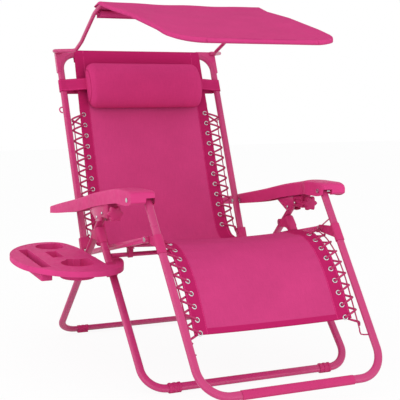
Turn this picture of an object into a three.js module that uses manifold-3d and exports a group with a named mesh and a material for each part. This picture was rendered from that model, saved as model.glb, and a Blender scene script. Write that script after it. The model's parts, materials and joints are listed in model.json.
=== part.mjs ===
// Reclining sun lounger with a canopy, a head pillow and a side tray.
// Millimetres, +Z up, the sitter faces -Y. x = 0 is the mid-plane of the chair.

import * as THREE from 'three';
import { mergeVertices } from 'three/addons/utils/BufferGeometryUtils.js';
import Module from 'manifold-3d';

const wasm = await Module();
wasm.setup();

// Clearances
const seatGap = 0.3;          // between a piece and what it rests on
const pivotGap = 0.4;         // round a pin that turns
const cutOverrun = 5;         // a cutting tool runs past the faces it cuts
const weldDistance = 0.0005;  // vertices closer than this are one

// Flattened steel tube of the four U frames
const tubeWidth = 26;         // across the frame's own plane
const tubeDepth = 16;         // square to that plane
const rivetRadius = 4;
const rivetHeadRadius = 7.5;
const rivetHeadHeight = 2.5;

// Base: two U frames that cross below the armrests
const baseRailX = 360;        // centre of each base rail
const floorBarHeight = 15;    // centre of both floor bars
const frontBarY = 5;
const rearBarY = 873;
const frontLegRise = 47.93;   // degrees, front leg rails against the floor
const rearLegRise = 44.63;    // degrees, rear leg rails against the floor
const frontLegEndDrop = 10.5; // the front leg ends this far short of the base pivot
const rearLegEndReach = 19;   // the rear leg goes this far past its rivet in the arm
const frontCornerRadius = 72;
const rearCornerRadius = 68;
const basePivotDrop = 105;    // along the rear leg below its upper end
const halfTurn = 180;

// Feet
const footX = 267;
const footLength = 40;
const footWall = 2.4;
const footRibHeight = 1.2;
const footRibs = 3;

const footSoleHalf = 7;
const footRoundSteps = 3;

// Caps that join the front legs to the rear legs
const capWall = 3;
const capEndWall = 2.2;
const capLength = 58;
const capCorner = 5;
const capEarRadius = 12;
const earSteps = 5;

// Base cross tube
const crossTubeRadius = 7.5;
const crossTubeReach = 490;   // along the front leg from its floor bar
const bumperX = 281;
const bumperRise = 22;
const bumperLength = 44;
const bumperWidth = 16;
const bumperWall = 3;

// Back frame
const backPivot = { y: 740, z: 490 };
const backLean = 21.8;        // degrees from the vertical
const backRailX = 316.6;
const backTopReach = 602;     // pivot to the middle of the top bar
const backTailReach = 150;    // pivot to the open lower end
const backTopRadius = 62;
const backSlingDrop = 22;     // sling behind the rails at the middle of the back

// Leg frame
const legPivot = { y: 101, z: 585 };
const legLean = 36.26;        // degrees from the vertical
const legRailTopX = 314.5;
const legRailLowX = 305;
const legBarReach = 652;      // pivot to the middle of the lower bar
const legTopReach = 12;       // pivot to the tube's top end
const legCornerRadius = 92;
const legBarSleeveLength = 374;
const legBarSleeveWall = 1.8;

// Links between the knee and the bottom of the back
const kneePivot = { y: 105, z: 460 };
const hipPivot = { y: 677, z: 335 };
const linkX = 316;
const linkWidth = 12;
const linkHeight = 18;
const hipClearance = 2.4;     // the hip pin's play in the link

// Armrests
const armFrontY = 55;
const armLength = 841;
const armRearTop = 486;
const armRise = 126;
const armDepth = 46;
const armWidth = 45;
const armFlare = 41;          // the front widens inwards over the leg frame
const armOuterX = 380;
const armWall = 3;
const armTopWall = 5;
const armCrown = 2;
const armEdgeRadius = 6;
const armNotchRise = 6;       // the leg tube swings up through the front
const armNotchHalfWidth = 15.5;
const spacerRadius = 9;

// Locks under the armrests
const stripFrontY = 205;
const stripRearY = 470;
const stripRise = 5;
const stripWidth = 20;
const stripThickness = 3;
const legTopRivet = { y: 385, z: 500 };
const bracketWidth = 31.6;
const bracketWall = 2.5;
const bracketRearY = 458;
const bracketFrontY = 346;
const bracketLip = 9;
const bracketEar = 12;
const blockWidth = 34;
const blockLength = 64;
const blockLow = 507;
const blockWall = 7;
const blockRecess = 9;
const knobHeight = 525;
const knobRadius = 27;
const knobLobes = 6;
const knobLobeDepth = 8;
const lobeSteps = 4;
const knobThickness = 20;
const knobEdge = 3;
const knobNeck = 12;
const knobStemRadius = 5;
const knobStemDepth = 22;

// Sling, its eyelets and its elastic lacing
const slingThickness = 2;
const slingHalfWidth = 270;
const slingTopHalfWidth = 258;
const eyeletX = 250;
const eyeletRadius = 9;
const eyeletHole = 5;
const eyeletRise = 1.2;
const backEyeletStart = 76;   // along the sling from the hip to the lowest eyelet
const backEyeletPitch = 41;
const backEyelets = 12;
const legEyeletStart = 22;    // along the sling from the knee to the first eyelet
const legEyeletPitch = 41;
const legEyelets = 9;
const edgeSlope = 0.16;       // the lacing draws the sling's edges forward
const edgeBand = 38;
const slingSag = 7;
const eyeletSides = 6;
const laceGap = 0.5;
const laceTail = 12;
const laceShift = 4;
const cordTail = 60;
const cordSteps = 20;
const hemSteps = 5;
const flatTopLength = 130;
const backSlingRows = 11;
const legSlingRows = 10;
const seatSlingRows = 8;
const sideCordRadius = 1.5;
const sideCordInset = 8.5;      // from the rail's inner face
const sideCordTie = 14;         // its ends run to the rail over this length
const laceRadius = 2.1;
const laceSides = 5;
const hemLap = 34;            // the sling's top folds over the bar and down behind

// Knee sleeves and hip caps
const kneeSleeveLength = 62;
const kneeSleeveWall = 2.6;
const kneeSleeveReach = 158;  // pivot to the sleeve's middle
const lugThickness = 7;
const lugRadius = 13;
const linkEndRadius = 11;
const hipCapLength = 40;
const hipCapWall = 3;
const hipEarRadius = 13;
const hipPinRadius = 4;
const linkEndTaper = 30;

// Canopy: a bent wire on the top corners of the back, and its cloth
const canopyPivotRise = 7.08; // past the middle of the back's top bar
const canopyPivotLead = 12.06; // in front of the back's rails
const canopyReach = 1045;     // pivot to the front of the wire
const canopyHeight = 147;     // pivot to the highest bend of the wire
const canopyWireRadius = 7;
const canopyWireSides = 8;
const canopyBendSteps = 2;
const canopyPivotX = 344;
const canopyEyeLength = 30;
const canopyBossLength = 24;
const canopySideX = 285;
const canopyRearX = 296;
const canopyTaper = 10;
const canopyFrontRadius = 90;
const canopyElbowRadius = 40;
const canopyGentleRadius = 120;
const canopyEyeBendShare = 1.5;
const canopyRollShare = 1.3;
const canopyRodRadius = 6;
const canopyRodIndex = 4;
const canopyClothThickness = 2;
const canopyHemDrop = 14;
const canopyFlapHeight = 46;
const canopySag = 6;
const canopyBracketWall = 3;
const canopyColumnShares = [-1, -0.94, -0.6, -0.2, 0.2, 0.6, 0.94, 1];
const canopyHemStep = 1.2;
const canopyClothGap = 1;

// Pillow and its elastic strap
const pillowLength = 480;
const pillowHeight = 165;
const pillowDepth = 74;
const pillowTopDrop = 45;      // the pillow starts this far below the top bar, along the sling
const pillowStart = backTopReach - pillowTopDrop;
const pillowSeat = 1.2;
const pillowEdge = 12;
const pillowBackShare = 0.94;
const pillowRoundSteps = 12;
const pillowStationShares = [
  { along: -1, size: 0.8 },
  { along: -0.98, size: 0.92 },
  { along: -0.9, size: 0.985 },
  { along: -0.5, size: 1 },
  { along: 0, size: 1.01 },
  { along: 0.5, size: 1 },
  { along: 0.9, size: 0.985 },
  { along: 0.98, size: 0.92 },
  { along: 1, size: 0.8 },
];
const strapHeight = 46;
const strapThickness = 1.4;
const strapFront = 26;
const strapBehind = 22;

// Side tray, on the left front leg
const trayWidth = 358;
const trayLength = 494;
const trayCentre = { x: -459, y: 453 };
const trayHeight = 367;
const trayTilt = 3.2;         // degrees, the rear is higher
const trayThickness = 3;
const trayRimHeight = 18;
const trayRimWall = 3;
const trayOutlineSteps = 34;
const trayCupDepth = 34;
const trayCupSides = 16;
const trayCups = [
  { x: -8, y: 172, radius: 48 },
  { x: 2, y: -106, radius: 54 },
];
const trayPockets = [
  { x: -110, y: 5, width: 32, length: 280, depth: 26, floor: 3 },
  { x: -30, y: 42, width: 38, length: 92, depth: 22, floor: 3 },
];
const trayPocketRadius = 6;
const trayPivot = { y: 298, z: 340 };
const trayLugX = -378;
const trayLugWall = 5;
const trayLugRadius = 12;
const trayNotchPlay = 3;
const trayNotchLength = 240;
const trayNotchFront = 34;
const clampLength = 42;
const clampWall = 4;
const clampScrewRadius = 3;
const clampKnobRadius = 10;
const clampKnobLength = 12;

// Shared small helpers
const degrees = (angle) => THREE.MathUtils.degToRad(angle);

// The canopy's pivots, beside the top bar of the back
const canopyPivot = {
  y: backPivot.y + (backTopReach + canopyPivotRise) * Math.sin(degrees(backLean))
    - canopyPivotLead * Math.cos(degrees(backLean)),
  z: backPivot.z + (backTopReach + canopyPivotRise) * Math.cos(degrees(backLean))
    + canopyPivotLead * Math.sin(degrees(backLean)),
};
const sides = [{ name: 'left', sign: -1 }, { name: 'right', sign: 1 }];
const vector = (x, y, z) => new THREE.Vector3(x, y, z);
const lerp = THREE.MathUtils.lerp;

// Colours and finishes
const framePaint = { color: 0xc8407d, roughness: 0.32, metalness: 0.25 };
const plastic = { color: 0xc3397a, roughness: 0.45, metalness: 0 };
const steel = { color: 0xc9c9cf, roughness: 0.25, metalness: 1 };
const slingCloth = { color: 0xc83e7a, roughness: 0.8, metalness: 0 };
const elastic = { color: 0xa81f58, roughness: 0.7, metalness: 0 };

// A route through given points, kept as straight steps between them.
// A flat tube's section stays square to the direction it faces.
class Route extends THREE.Curve {
  constructor(points, facing = null) {
    super();
    this.points = points;
    this.facing = facing;
  }

  computeFrenetFrames(segments, closed) {
    if (!this.facing) {
      return super.computeFrenetFrames(segments, closed);
    }
    const frames = { tangents: [], normals: [], binormals: [] };
    for (let i = 0; i <= segments; i += 1) {
      const tangent = this.getTangentAt(i / segments);
      const binormal = this.facing.clone().addScaledVector(tangent, -tangent.dot(this.facing)).normalize();
      frames.tangents.push(tangent);
      frames.binormals.push(binormal);
      frames.normals.push(binormal.clone().cross(tangent));
    }
    return frames;
  }

  getPoint(share, target = new THREE.Vector3()) {
    const place = share * (this.points.length - 1);
    const index = Math.min(Math.floor(place), this.points.length - 2);
    return target.lerpVectors(this.points[index], this.points[index + 1], place - index);
  }

  getPointAt(share, target) {
    return this.getPoint(share, target);
  }

  getTangentAt(share, target = new THREE.Vector3()) {
    const last = this.points.length - 1;
    const index = Math.round(share * last);
    const here = this.points[index];
    target.set(0, 0, 0);
    if (index > 0) {
      target.add(here.clone().sub(this.points[index - 1]).normalize());
    }
    if (index < last) {
      target.add(this.points[index + 1].clone().sub(here).normalize());
    }
    return target.normalize();
  }
}

// The corners of a bent rod or tube, each rounded to a radius
function rounded(corners, radius, steps = 6) {
  const points = [corners[0]];
  for (let i = 1; i < corners.length - 1; i += 1) {
    const arrive = corners[i].clone().sub(corners[i - 1]).normalize();
    const leave = corners[i + 1].clone().sub(corners[i]).normalize();
    const turn = arrive.angleTo(leave);
    const inward = leave.clone().addScaledVector(arrive, -arrive.dot(leave)).normalize();
    const bendRadius = Array.isArray(radius) ? radius[i - 1] : radius;
    const start = corners[i].clone().addScaledVector(arrive, -bendRadius * Math.tan(turn / 2));
    for (let k = 0; k <= steps; k += 1) {
      const angle = (turn * k) / steps;
      const point = start.clone().addScaledVector(arrive, bendRadius * Math.sin(angle));
      points.push(point.addScaledVector(inward, bendRadius * (1 - Math.cos(angle))));
    }
  }
  points.push(corners[corners.length - 1]);
  return points;
}

// A flattened round outline: two half circles joined by flats along x
function ovalOutline(width, depth, roundSteps = 4) {
  const points = [];
  const radius = depth / 2;
  for (const end of [1, -1]) {
    for (let k = 0; k <= roundSteps; k += 1) {
      const angle = -Math.PI / 2 + (Math.PI * k) / roundSteps;
      points.push(new THREE.Vector2(
        end * (width / 2 - radius + radius * Math.cos(angle)),
        end * radius * Math.sin(angle),
      ));
    }
  }
  return points;
}

function roundOutline(radius, sideCount) {
  const points = [];
  for (let k = 0; k < sideCount; k += 1) {
    const angle = (2 * Math.PI * k) / sideCount;
    points.push(new THREE.Vector2(radius * Math.cos(angle), radius * Math.sin(angle)));
  }
  return points;
}

function sweep(outline, points, facing) {
  const extrudePath = new Route(points, facing);
  return new THREE.ExtrudeGeometry(new THREE.Shape(outline), { steps: points.length - 1, extrudePath });
}

// A flat outline given thickness along z, centred on z = 0
function plate(outline, thickness, holes = []) {
  const shape = new THREE.Shape(outline);
  shape.holes = holes.map((hole) => new THREE.Path(hole));
  const geometry = new THREE.ExtrudeGeometry(shape, { depth: thickness, bevelEnabled: false });
  return geometry.translate(0, 0, -thickness / 2);
}

// An outline in the y-z plane given width along x, from x0 to x1
function slab(outlineYZ, x0, x1) {
  const shape = new THREE.Shape(outlineYZ.map(([y, z]) => new THREE.Vector2(y, z)));
  const geometry = new THREE.ExtrudeGeometry(shape, { depth: x1 - x0, bevelEnabled: false });
  const toYZ = new THREE.Matrix4().makeBasis(vector(0, 1, 0), vector(0, 0, 1), vector(1, 0, 0));
  return geometry.applyMatrix4(toYZ).translate(x0, 0, 0);
}

// A cylinder along x
function rodAlongX(radius, x0, x1, y, z, sideCount = 14) {
  const geometry = new THREE.CylinderGeometry(radius, radius, x1 - x0, sideCount);
  return geometry.rotateZ(Math.PI / 2).translate((x0 + x1) / 2, y, z);
}

// Turns every triangle over where a closed skin has come out inside out
function faceOut(positions, index) {
  let volume = 0;
  const corner = (k) => vector(...positions.slice(3 * index[k], 3 * index[k] + 3));
  for (let k = 0; k < index.length; k += 3) {
    volume += corner(k).dot(corner(k + 1).cross(corner(k + 2)));
  }
  const turned = volume < 0 ? index.reverse() : index;
  const geometry = new THREE.BufferGeometry();
  geometry.setAttribute('position', new THREE.Float32BufferAttribute(positions, 3));
  geometry.setIndex(turned);
  return geometry;
}

// A round piece along x: its profile as places along x and radii
function turnedAlongX(profile, y, z, sideCount = 8) {
  const points = [];
  points.push(new THREE.Vector2(0, profile[0][0]));
  profile.forEach(([x, radius]) => points.push(new THREE.Vector2(radius, x)));
  points.push(new THREE.Vector2(0, profile[profile.length - 1][0]));
  return new THREE.LatheGeometry(points, sideCount).rotateZ(-Math.PI / 2).translate(0, y, z);
}

// A closed skin through rings of equally many points, with flat ends
function loft(rings) {
  const positions = [];
  const index = [];
  const count = rings[0].length;
  for (const ring of rings) {
    for (const point of ring) {
      positions.push(point.x, point.y, point.z);
    }
  }
  for (let r = 0; r < rings.length - 1; r += 1) {
    for (let k = 0; k < count; k += 1) {
      const a = r * count + k;
      const b = r * count + ((k + 1) % count);
      index.push(a, b, a + count, b, b + count, a + count);
    }
  }
  for (const [ringIndex, flip] of [[0, true], [rings.length - 1, false]]) {
    const centre = new THREE.Vector3();
    rings[ringIndex].forEach((point) => centre.addScaledVector(point, 1 / count));
    const hub = positions.length / 3;
    positions.push(centre.x, centre.y, centre.z);
    for (let k = 0; k < count; k += 1) {
      const a = ringIndex * count + k;
      const b = ringIndex * count + ((k + 1) % count);
      index.push(...(flip ? [hub, b, a] : [hub, a, b]));
    }
  }
  return faceOut(positions, index);
}

// A sheet through a grid of points, thickened square to itself
function sheet(grid, thickness) {
  const rows = grid.length;
  const columns = grid[0].length;
  const at = (r, c) => grid[Math.min(Math.max(r, 0), rows - 1)][Math.min(Math.max(c, 0), columns - 1)];
  const positions = [];
  const offsets = [thickness / 2, -thickness / 2];
  for (const offset of offsets) {
    for (let r = 0; r < rows; r += 1) {
      for (let c = 0; c < columns; c += 1) {
        const along = at(r + 1, c).clone().sub(at(r - 1, c));
        const across = at(r, c + 1).clone().sub(at(r, c - 1));
        const normal = across.cross(along).normalize();
        const point = at(r, c).clone().addScaledVector(normal, offset);
        positions.push(point.x, point.y, point.z);
      }
    }
  }
  const index = [];
  const id = (r, c, side) => side * rows * columns + r * columns + c;
  const quad = (a, b, c, d) => index.push(a, b, c, a, c, d);
  for (let r = 0; r < rows - 1; r += 1) {
    for (let c = 0; c < columns - 1; c += 1) {
      quad(id(r, c, 0), id(r, c + 1, 0), id(r + 1, c + 1, 0), id(r + 1, c, 0));
      quad(id(r, c, 1), id(r + 1, c, 1), id(r + 1, c + 1, 1), id(r, c + 1, 1));
    }
  }
  for (let r = 0; r < rows - 1; r += 1) {
    const far = columns - 1;
    quad(id(r, 0, 0), id(r + 1, 0, 0), id(r + 1, 0, 1), id(r, 0, 1));
    quad(id(r, far, 0), id(r, far, 1), id(r + 1, far, 1), id(r + 1, far, 0));
  }
  for (let c = 0; c < columns - 1; c += 1) {
    const far = rows - 1;
    quad(id(0, c, 0), id(0, c, 1), id(0, c + 1, 1), id(0, c + 1, 0));
    quad(id(far, c, 0), id(far, c + 1, 0), id(far, c + 1, 1), id(far, c, 1));
  }
  return faceOut(positions, index);
}

// Joining and cutting
function toSolid(geometry) {
  const bare = geometry.clone();
  for (const name of Object.keys(bare.attributes)) {
    if (name !== 'position') {
      bare.deleteAttribute(name);
    }
  }
  const merged = mergeVertices(bare, weldDistance);
  const vertProperties = new Float32Array(merged.attributes.position.array);
  const triVerts = new Uint32Array(merged.index.array);
  return new wasm.Manifold(new wasm.Mesh({ numProp: 3, vertProperties, triVerts }));
}

function toGeometry(solid) {
  const result = solid.getMesh();
  const geometry = new THREE.BufferGeometry();
  geometry.setAttribute('position', new THREE.Float32BufferAttribute(result.vertProperties, 3));
  geometry.setIndex(new THREE.BufferAttribute(new Uint32Array(result.triVerts), 1));
  return geometry;
}

function join(...geometries) {
  return toGeometry(geometries.map(toSolid).reduce((whole, piece) => whole.add(piece)));
}

function cut(geometry, ...tools) {
  return toGeometry(tools.map(toSolid).reduce((whole, tool) => whole.subtract(tool), toSolid(geometry)));
}

function addPiece(parent, name, geometry, finish) {
  geometry.computeVertexNormals();
  const mesh = new THREE.Mesh(geometry, new THREE.MeshStandardMaterial(finish));
  mesh.name = name;
  parent.add(mesh);
  return mesh;
}

// A group whose y axis runs up a leaning frame and whose z axis faces the sitter
function leaningGroup(place, rise) {
  const group = new THREE.Group();
  group.position.set(0, place.y, place.z);
  group.rotation.x = degrees(rise);
  return group;
}

// A place in the y-z plane seen from a leaning group: v up the frame, n towards the sitter
function seenFrom(place, rise, point) {
  const dy = point.y - place.y;
  const dz = point.z - place.z;
  const cos = Math.cos(degrees(rise));
  const sin = Math.sin(degrees(rise));
  return { v: dy * cos + dz * sin, n: -dy * sin + dz * cos };
}

const facing = vector(0, 0, 1);

// The U tube of one frame, open end up, in the frame's own group
function uTube(railTopX, railLowX, topY, barY, cornerRadius) {
  const corners = [
    vector(-railTopX, topY, 0),
    vector(-railLowX, barY, 0),
    vector(railLowX, barY, 0),
    vector(railTopX, topY, 0),
  ];
  return sweep(ovalOutline(tubeWidth, tubeDepth), rounded(corners, cornerRadius), facing);
}

// Base

const frontBar = { y: frontBarY, z: floorBarHeight };
const rearBar = { y: rearBarY, z: floorBarHeight };
const rearRise = halfTurn - rearLegRise;
const rearLegLength = Math.hypot(rearBar.y - legTopRivet.y, legTopRivet.z - rearBar.z) + rearLegEndReach;
const basePivotReach = rearLegLength - basePivotDrop;
const rearUp = { y: Math.cos(degrees(rearRise)), z: Math.sin(degrees(rearRise)) };
const basePivot = {
  y: rearBar.y + rearUp.y * basePivotReach,
  z: rearBar.z + rearUp.z * basePivotReach,
};
const frontLegLength = seenFrom(frontBar, frontLegRise, basePivot).v - frontLegEndDrop;
const pinHole = rivetRadius + pivotGap;

function rearLegTube() {
  const tube = uTube(baseRailX, baseRailX, rearLegLength, 0, rearCornerRadius);
  const holes = sides.map(({ sign }) => {
    const x = sign * baseRailX;
    return rodAlongX(pinHole, x - tubeWidth, x + tubeWidth, basePivotReach, 0);
  });
  return cut(tube, ...holes);
}

// A ribbed plastic sleeve round a floor bar, with a flat sole
function footSleeve(bar, rise, x) {
  const stations = [];
  const ribPitch = footLength / (2 * footRibs - 1);
  for (let k = 0; k < 2 * footRibs - 1; k += 1) {
    const wall = footWall + (k % 2 === 0 ? footRibHeight : 0);
    stations.push([k * ribPitch, wall], [(k + 1) * ribPitch, wall]);
  }
  const turn = degrees(rise);
  const rings = stations.map(([along, wall]) => {
    const outline = ovalOutline(tubeWidth + 2 * wall, tubeDepth + 2 * wall, footRoundSteps);
    return outline.map((point) => {
      const y = point.x * Math.cos(turn) - point.y * Math.sin(turn);
      const z = point.x * Math.sin(turn) + point.y * Math.cos(turn);
      return vector(x - footLength / 2 + along, bar.y + y, bar.z + Math.max(z, -bar.z));
    });
  });
  const hole = ovalOutline(tubeWidth + 2 * seatGap, tubeDepth + 2 * seatGap).map((point) => {
    const y = point.x * Math.cos(turn) - point.y * Math.sin(turn);
    const z = point.x * Math.sin(turn) + point.y * Math.cos(turn);
    return [bar.y + y, bar.z + z];
  });
  const reach = footLength / 2 + cutOverrun;
  const sole = slab(
    [
      [bar.y - footSoleHalf, 0],
      [bar.y + footSoleHalf, 0],
      [bar.y + footSoleHalf, bar.z],
      [bar.y - footSoleHalf, bar.z],
    ],
    x - footLength / 2,
    x + footLength / 2,
  );
  return cut(join(loft(rings), sole), slab(hole, x - reach, x + reach));
}

// A plastic cap on the front leg's end, with two ears beside the rear leg
function legCap(sign) {
  const pivot = seenFrom(frontBar, frontLegRise, basePivot);
  const halfWidth = tubeWidth / 2 + seatGap + capWall;
  const x = sign * baseRailX;
  const endY = frontLegLength + seatGap + capEndWall;
  const lowY = frontLegLength - capLength;
  const halfDepth = tubeDepth / 2 + seatGap + capWall;
  const outline = [
    [lowY, -halfDepth],
    [lowY, halfDepth],
    [endY - capCorner, halfDepth],
    [endY, halfDepth - capCorner],
    [pivot.v + capEarRadius, pivot.n],
  ];
  for (let k = 1; k <= earSteps; k += 1) {
    const angle = -(Math.PI * k) / earSteps;
    outline.push([
      pivot.v + capEarRadius * Math.cos(angle),
      pivot.n + capEarRadius * Math.sin(angle),
    ]);
  }
  const body = slab(outline.reverse(), x - halfWidth, x + halfWidth);
  const pocket = sweep(
    ovalOutline(tubeWidth + 2 * seatGap, tubeDepth + 2 * seatGap),
    [vector(x, lowY - cutOverrun, 0), vector(x, frontLegLength + seatGap, 0)],
    facing,
  );
  const slotHalf = tubeWidth / 2 + seatGap;
  const far = pivot.v + capEarRadius + cutOverrun;
  const low = pivot.n - capEarRadius - cutOverrun;
  const slotStart = frontLegLength + seatGap + capEndWall;
  const slot = slab(
    [
      [lowY - cutOverrun, low],
      [far, low],
      [far, halfDepth + cutOverrun],
      [slotStart, halfDepth + cutOverrun],
      [slotStart, -halfDepth],
      [lowY - cutOverrun, -halfDepth],
    ],
    x - slotHalf,
    x + slotHalf,
  );
  const hole = rodAlongX(pinHole, x - halfWidth - cutOverrun, x + halfWidth + cutOverrun, pivot.v, pivot.n);
  return cut(body, pocket, slot, hole);
}

// A plastic bumper on the base cross tube, with a flat top that the seat frame comes near
function crossBumper(sign) {
  const x = sign * bumperX;
  const outer = crossTubeRadius + seatGap + bumperWall;
  const outline = [];
  for (let k = 0; k <= 2 * earSteps; k += 1) {
    const angle = -Math.PI * (k / (2 * earSteps));
    outline.push([outer * Math.cos(angle), outer * Math.sin(angle)]);
  }
  outline.push([-outer, bumperRise - bumperWall]);
  outline.push([-bumperLength / 2, bumperRise]);
  outline.push([-bumperLength / 2, bumperRise + bumperWall]);
  outline.push([bumperLength / 2, bumperRise + bumperWall]);
  outline.push([bumperLength / 2, bumperRise]);
  outline.push([outer, bumperRise - bumperWall]);
  const body = slab(outline.reverse(), x - bumperWidth / 2, x + bumperWidth / 2);
  const reach = bumperWidth / 2 + cutOverrun;
  return cut(body, rodAlongX(crossTubeRadius + seatGap, x - reach, x + reach, 0, 0));
}

function pinThroughRail(railX, plates) {
  const reach = tubeWidth / 2 + plates;
  return [
    [railX - reach - rivetHeadHeight, rivetHeadRadius],
    [railX - reach, rivetHeadRadius],
    [railX - reach, rivetRadius],
    [railX + reach, rivetRadius],
    [railX + reach, rivetHeadRadius],
    [railX + reach + rivetHeadHeight, rivetHeadRadius],
  ];
}

function buildBase(root) {
  const rear = leaningGroup(rearBar, rearRise);
  const front = leaningGroup(frontBar, frontLegRise);
  root.add(rear, front);
  addPiece(rear, 'rear_leg_tube', rearLegTube(), framePaint);
  const frontTube = uTube(baseRailX, baseRailX, frontLegLength, 0, frontCornerRadius);
  addPiece(front, 'front_leg_tube', frontTube, framePaint);
  const crossReach = baseRailX - tubeWidth / 2 - seatGap;
  const crossTube = rodAlongX(crossTubeRadius, -crossReach, crossReach, crossTubeReach, 0);
  addPiece(front, 'base_cross_tube', crossTube, framePaint);
  for (const { name, sign } of sides) {
    const x = sign * footX;
    addPiece(root, `rear_foot_${name}`, footSleeve(rearBar, rearRise, x), plastic);
    addPiece(root, `front_foot_${name}`, footSleeve(frontBar, frontLegRise, x), plastic);
    addPiece(front, `leg_cap_${name}`, legCap(sign), plastic);
    const bumper = new THREE.Group();
    bumper.position.set(0, crossTubeReach, 0);
    bumper.rotation.x = -degrees(frontLegRise);
    front.add(bumper);
    addPiece(bumper, `cross_bumper_${name}`, crossBumper(sign), plastic);
    const profile = pinThroughRail(sign * baseRailX, seatGap + capWall + seatGap);
    const pin = turnedAlongX(profile, basePivot.y, basePivot.z);
    addPiece(root, `base_pivot_pin_${name}`, pin, steel);
  }
  return front;
}

// Armrests

// One armrest: stations from its rear end forward, as shares of its length, rise, depth and flare
const armStationShares = [
  { along: 0, rise: 0, depth: 0.57, flare: 0 },
  { along: 0.138, rise: 0.175, depth: 0.78, flare: 0 },
  { along: 0.384, rise: 0.468, depth: 0.98, flare: 0 },
  { along: 0.573, rise: 0.722, depth: 1, flare: 0 },
  { along: 0.712, rise: 0.873, depth: 1, flare: 0 },
  { along: 0.792, rise: 0.952, depth: 1, flare: 0.35 },
  { along: 0.843, rise: 0.992, depth: 1, flare: 0.85 },
  { along: 0.899, rise: 1, depth: 1, flare: 1 },
  { along: 0.963, rise: 1, depth: 0.97, flare: 1 },
  { along: 0.992, rise: 0.96, depth: 0.7, flare: 0.9 },
  { along: 1, rise: 0.9, depth: 0.42, flare: 0.75 },
];

const armRearY = armFrontY + armLength;

function armStation({ along, rise, depth, flare }) {
  const top = armRearTop + armRise * rise;
  return {
    y: armRearY - armLength * along,
    top,
    bottom: top - armDepth * depth,
    inner: armOuterX - armWidth - armFlare * flare,
  };
}

// The height of the armrest's underside at a place along it
function armUnderside(y) {
  const stations = armStationShares.map(armStation);
  const next = Math.max(stations.findIndex((station) => station.y <= y), 1);
  const [a, b] = [stations[next - 1], stations[next]];
  return lerp(a.bottom, b.bottom, (a.y - y) / (a.y - b.y));
}

function armrest(sign) {
  const stations = armStationShares.map(armStation);
  const outer = stations.map(({ y, top, bottom, inner }) => {
    const edge = Math.min(armEdgeRadius, (top - bottom) / 3);
    const middle = (inner + armOuterX) / 2;
    const outline = [
      [inner, bottom],
      [inner, top - edge],
      [inner + edge, top],
      [middle, top + armCrown],
      [armOuterX - edge, top],
      [armOuterX, top - edge],
      [armOuterX, bottom],
    ];
    return outline.map(([x, z]) => vector(sign * x, y, z));
  });
  const hollowStations = stations.slice(0, -2).map((station, index) => (
    index === 0 ? { ...station, y: station.y - armWall } : station
  ));
  const hollow = hollowStations.map(({ y, top, bottom, inner }) => {
    const outline = [
      [inner + armWall, bottom - cutOverrun],
      [inner + armWall, top - armTopWall],
      [armOuterX - armWall, top - armTopWall],
      [armOuterX - armWall, bottom - cutOverrun],
    ];
    return outline.map(([x, z]) => vector(sign * x, y, z));
  });
  const notchLow = legPivot.z + armNotchRise;
  const notch = slab(
    [
      [armFrontY - cutOverrun, notchLow - armDepth],
      [legPivot.y, notchLow - armDepth],
      [legPivot.y, notchLow],
      [armFrontY - cutOverrun, notchLow],
    ],
    Math.min(sign * (legRailTopX - armNotchHalfWidth), sign * (legRailTopX + armNotchHalfWidth)),
    Math.max(sign * (legRailTopX - armNotchHalfWidth), sign * (legRailTopX + armNotchHalfWidth)),
  );
  const through = armWidth + armFlare + cutOverrun;
  const rearHole = alongXBetween(rivetRadius + seatGap, sign, armOuterX - through, armOuterX - armWidth + armWall
    + cutOverrun, backPivot);
  const frontHole = alongXBetween(rivetRadius + seatGap, sign, armOuterX - through, armOuterX + cutOverrun, legPivot);
  return cut(loft(outer), loft(hollow), notch, rearHole, frontHole);
}

// A round tool along x on one side of the chair, between two distances from the mid-plane
function alongXBetween(radius, sign, near, far, place) {
  return rodAlongX(radius, Math.min(sign * near, sign * far), Math.max(sign * near, sign * far), place.y, place.z);
}

// A profile from the mid-plane outwards, on one side of the chair
function turnedOnSide(profile, sign, place) {
  const oriented = sign > 0 ? profile : profile.map(([x, radius]) => [-x, radius]).reverse();
  return turnedAlongX(oriented, place.y, place.z);
}

function boltProfile(headFace, shankEnd, collars = []) {
  const points = [[headFace - rivetHeadHeight, rivetHeadRadius], [headFace, rivetHeadRadius], [headFace, rivetRadius]];
  for (const [start, end, radius] of collars) {
    points.push([start, rivetRadius], [start, radius], [end, radius], [end, rivetRadius]);
  }
  points.push([shankEnd, rivetRadius], [shankEnd, rivetHeadRadius], [shankEnd + rivetHeadHeight, rivetHeadRadius]);
  return points;
}

// The straight line of the slide strip's lower face, which the lock fits under
function stripLine(y) {
  const share = (y - stripFrontY) / (stripRearY - stripFrontY);
  return lerp(armUnderside(stripFrontY), armUnderside(stripRearY), share) + stripRise;
}

// Steel strip along the armrest's hollow, above the lock
function slideStrip(sign) {
  const lower = [stripFrontY, stripRearY].map((y) => [y, stripLine(y)]);
  const upper = lower.map(([y, z]) => [y, z + stripThickness]).reverse();
  const x = sign * baseRailX;
  return slab([...lower, ...upper], x - stripWidth / 2, x + stripWidth / 2);
}

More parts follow.
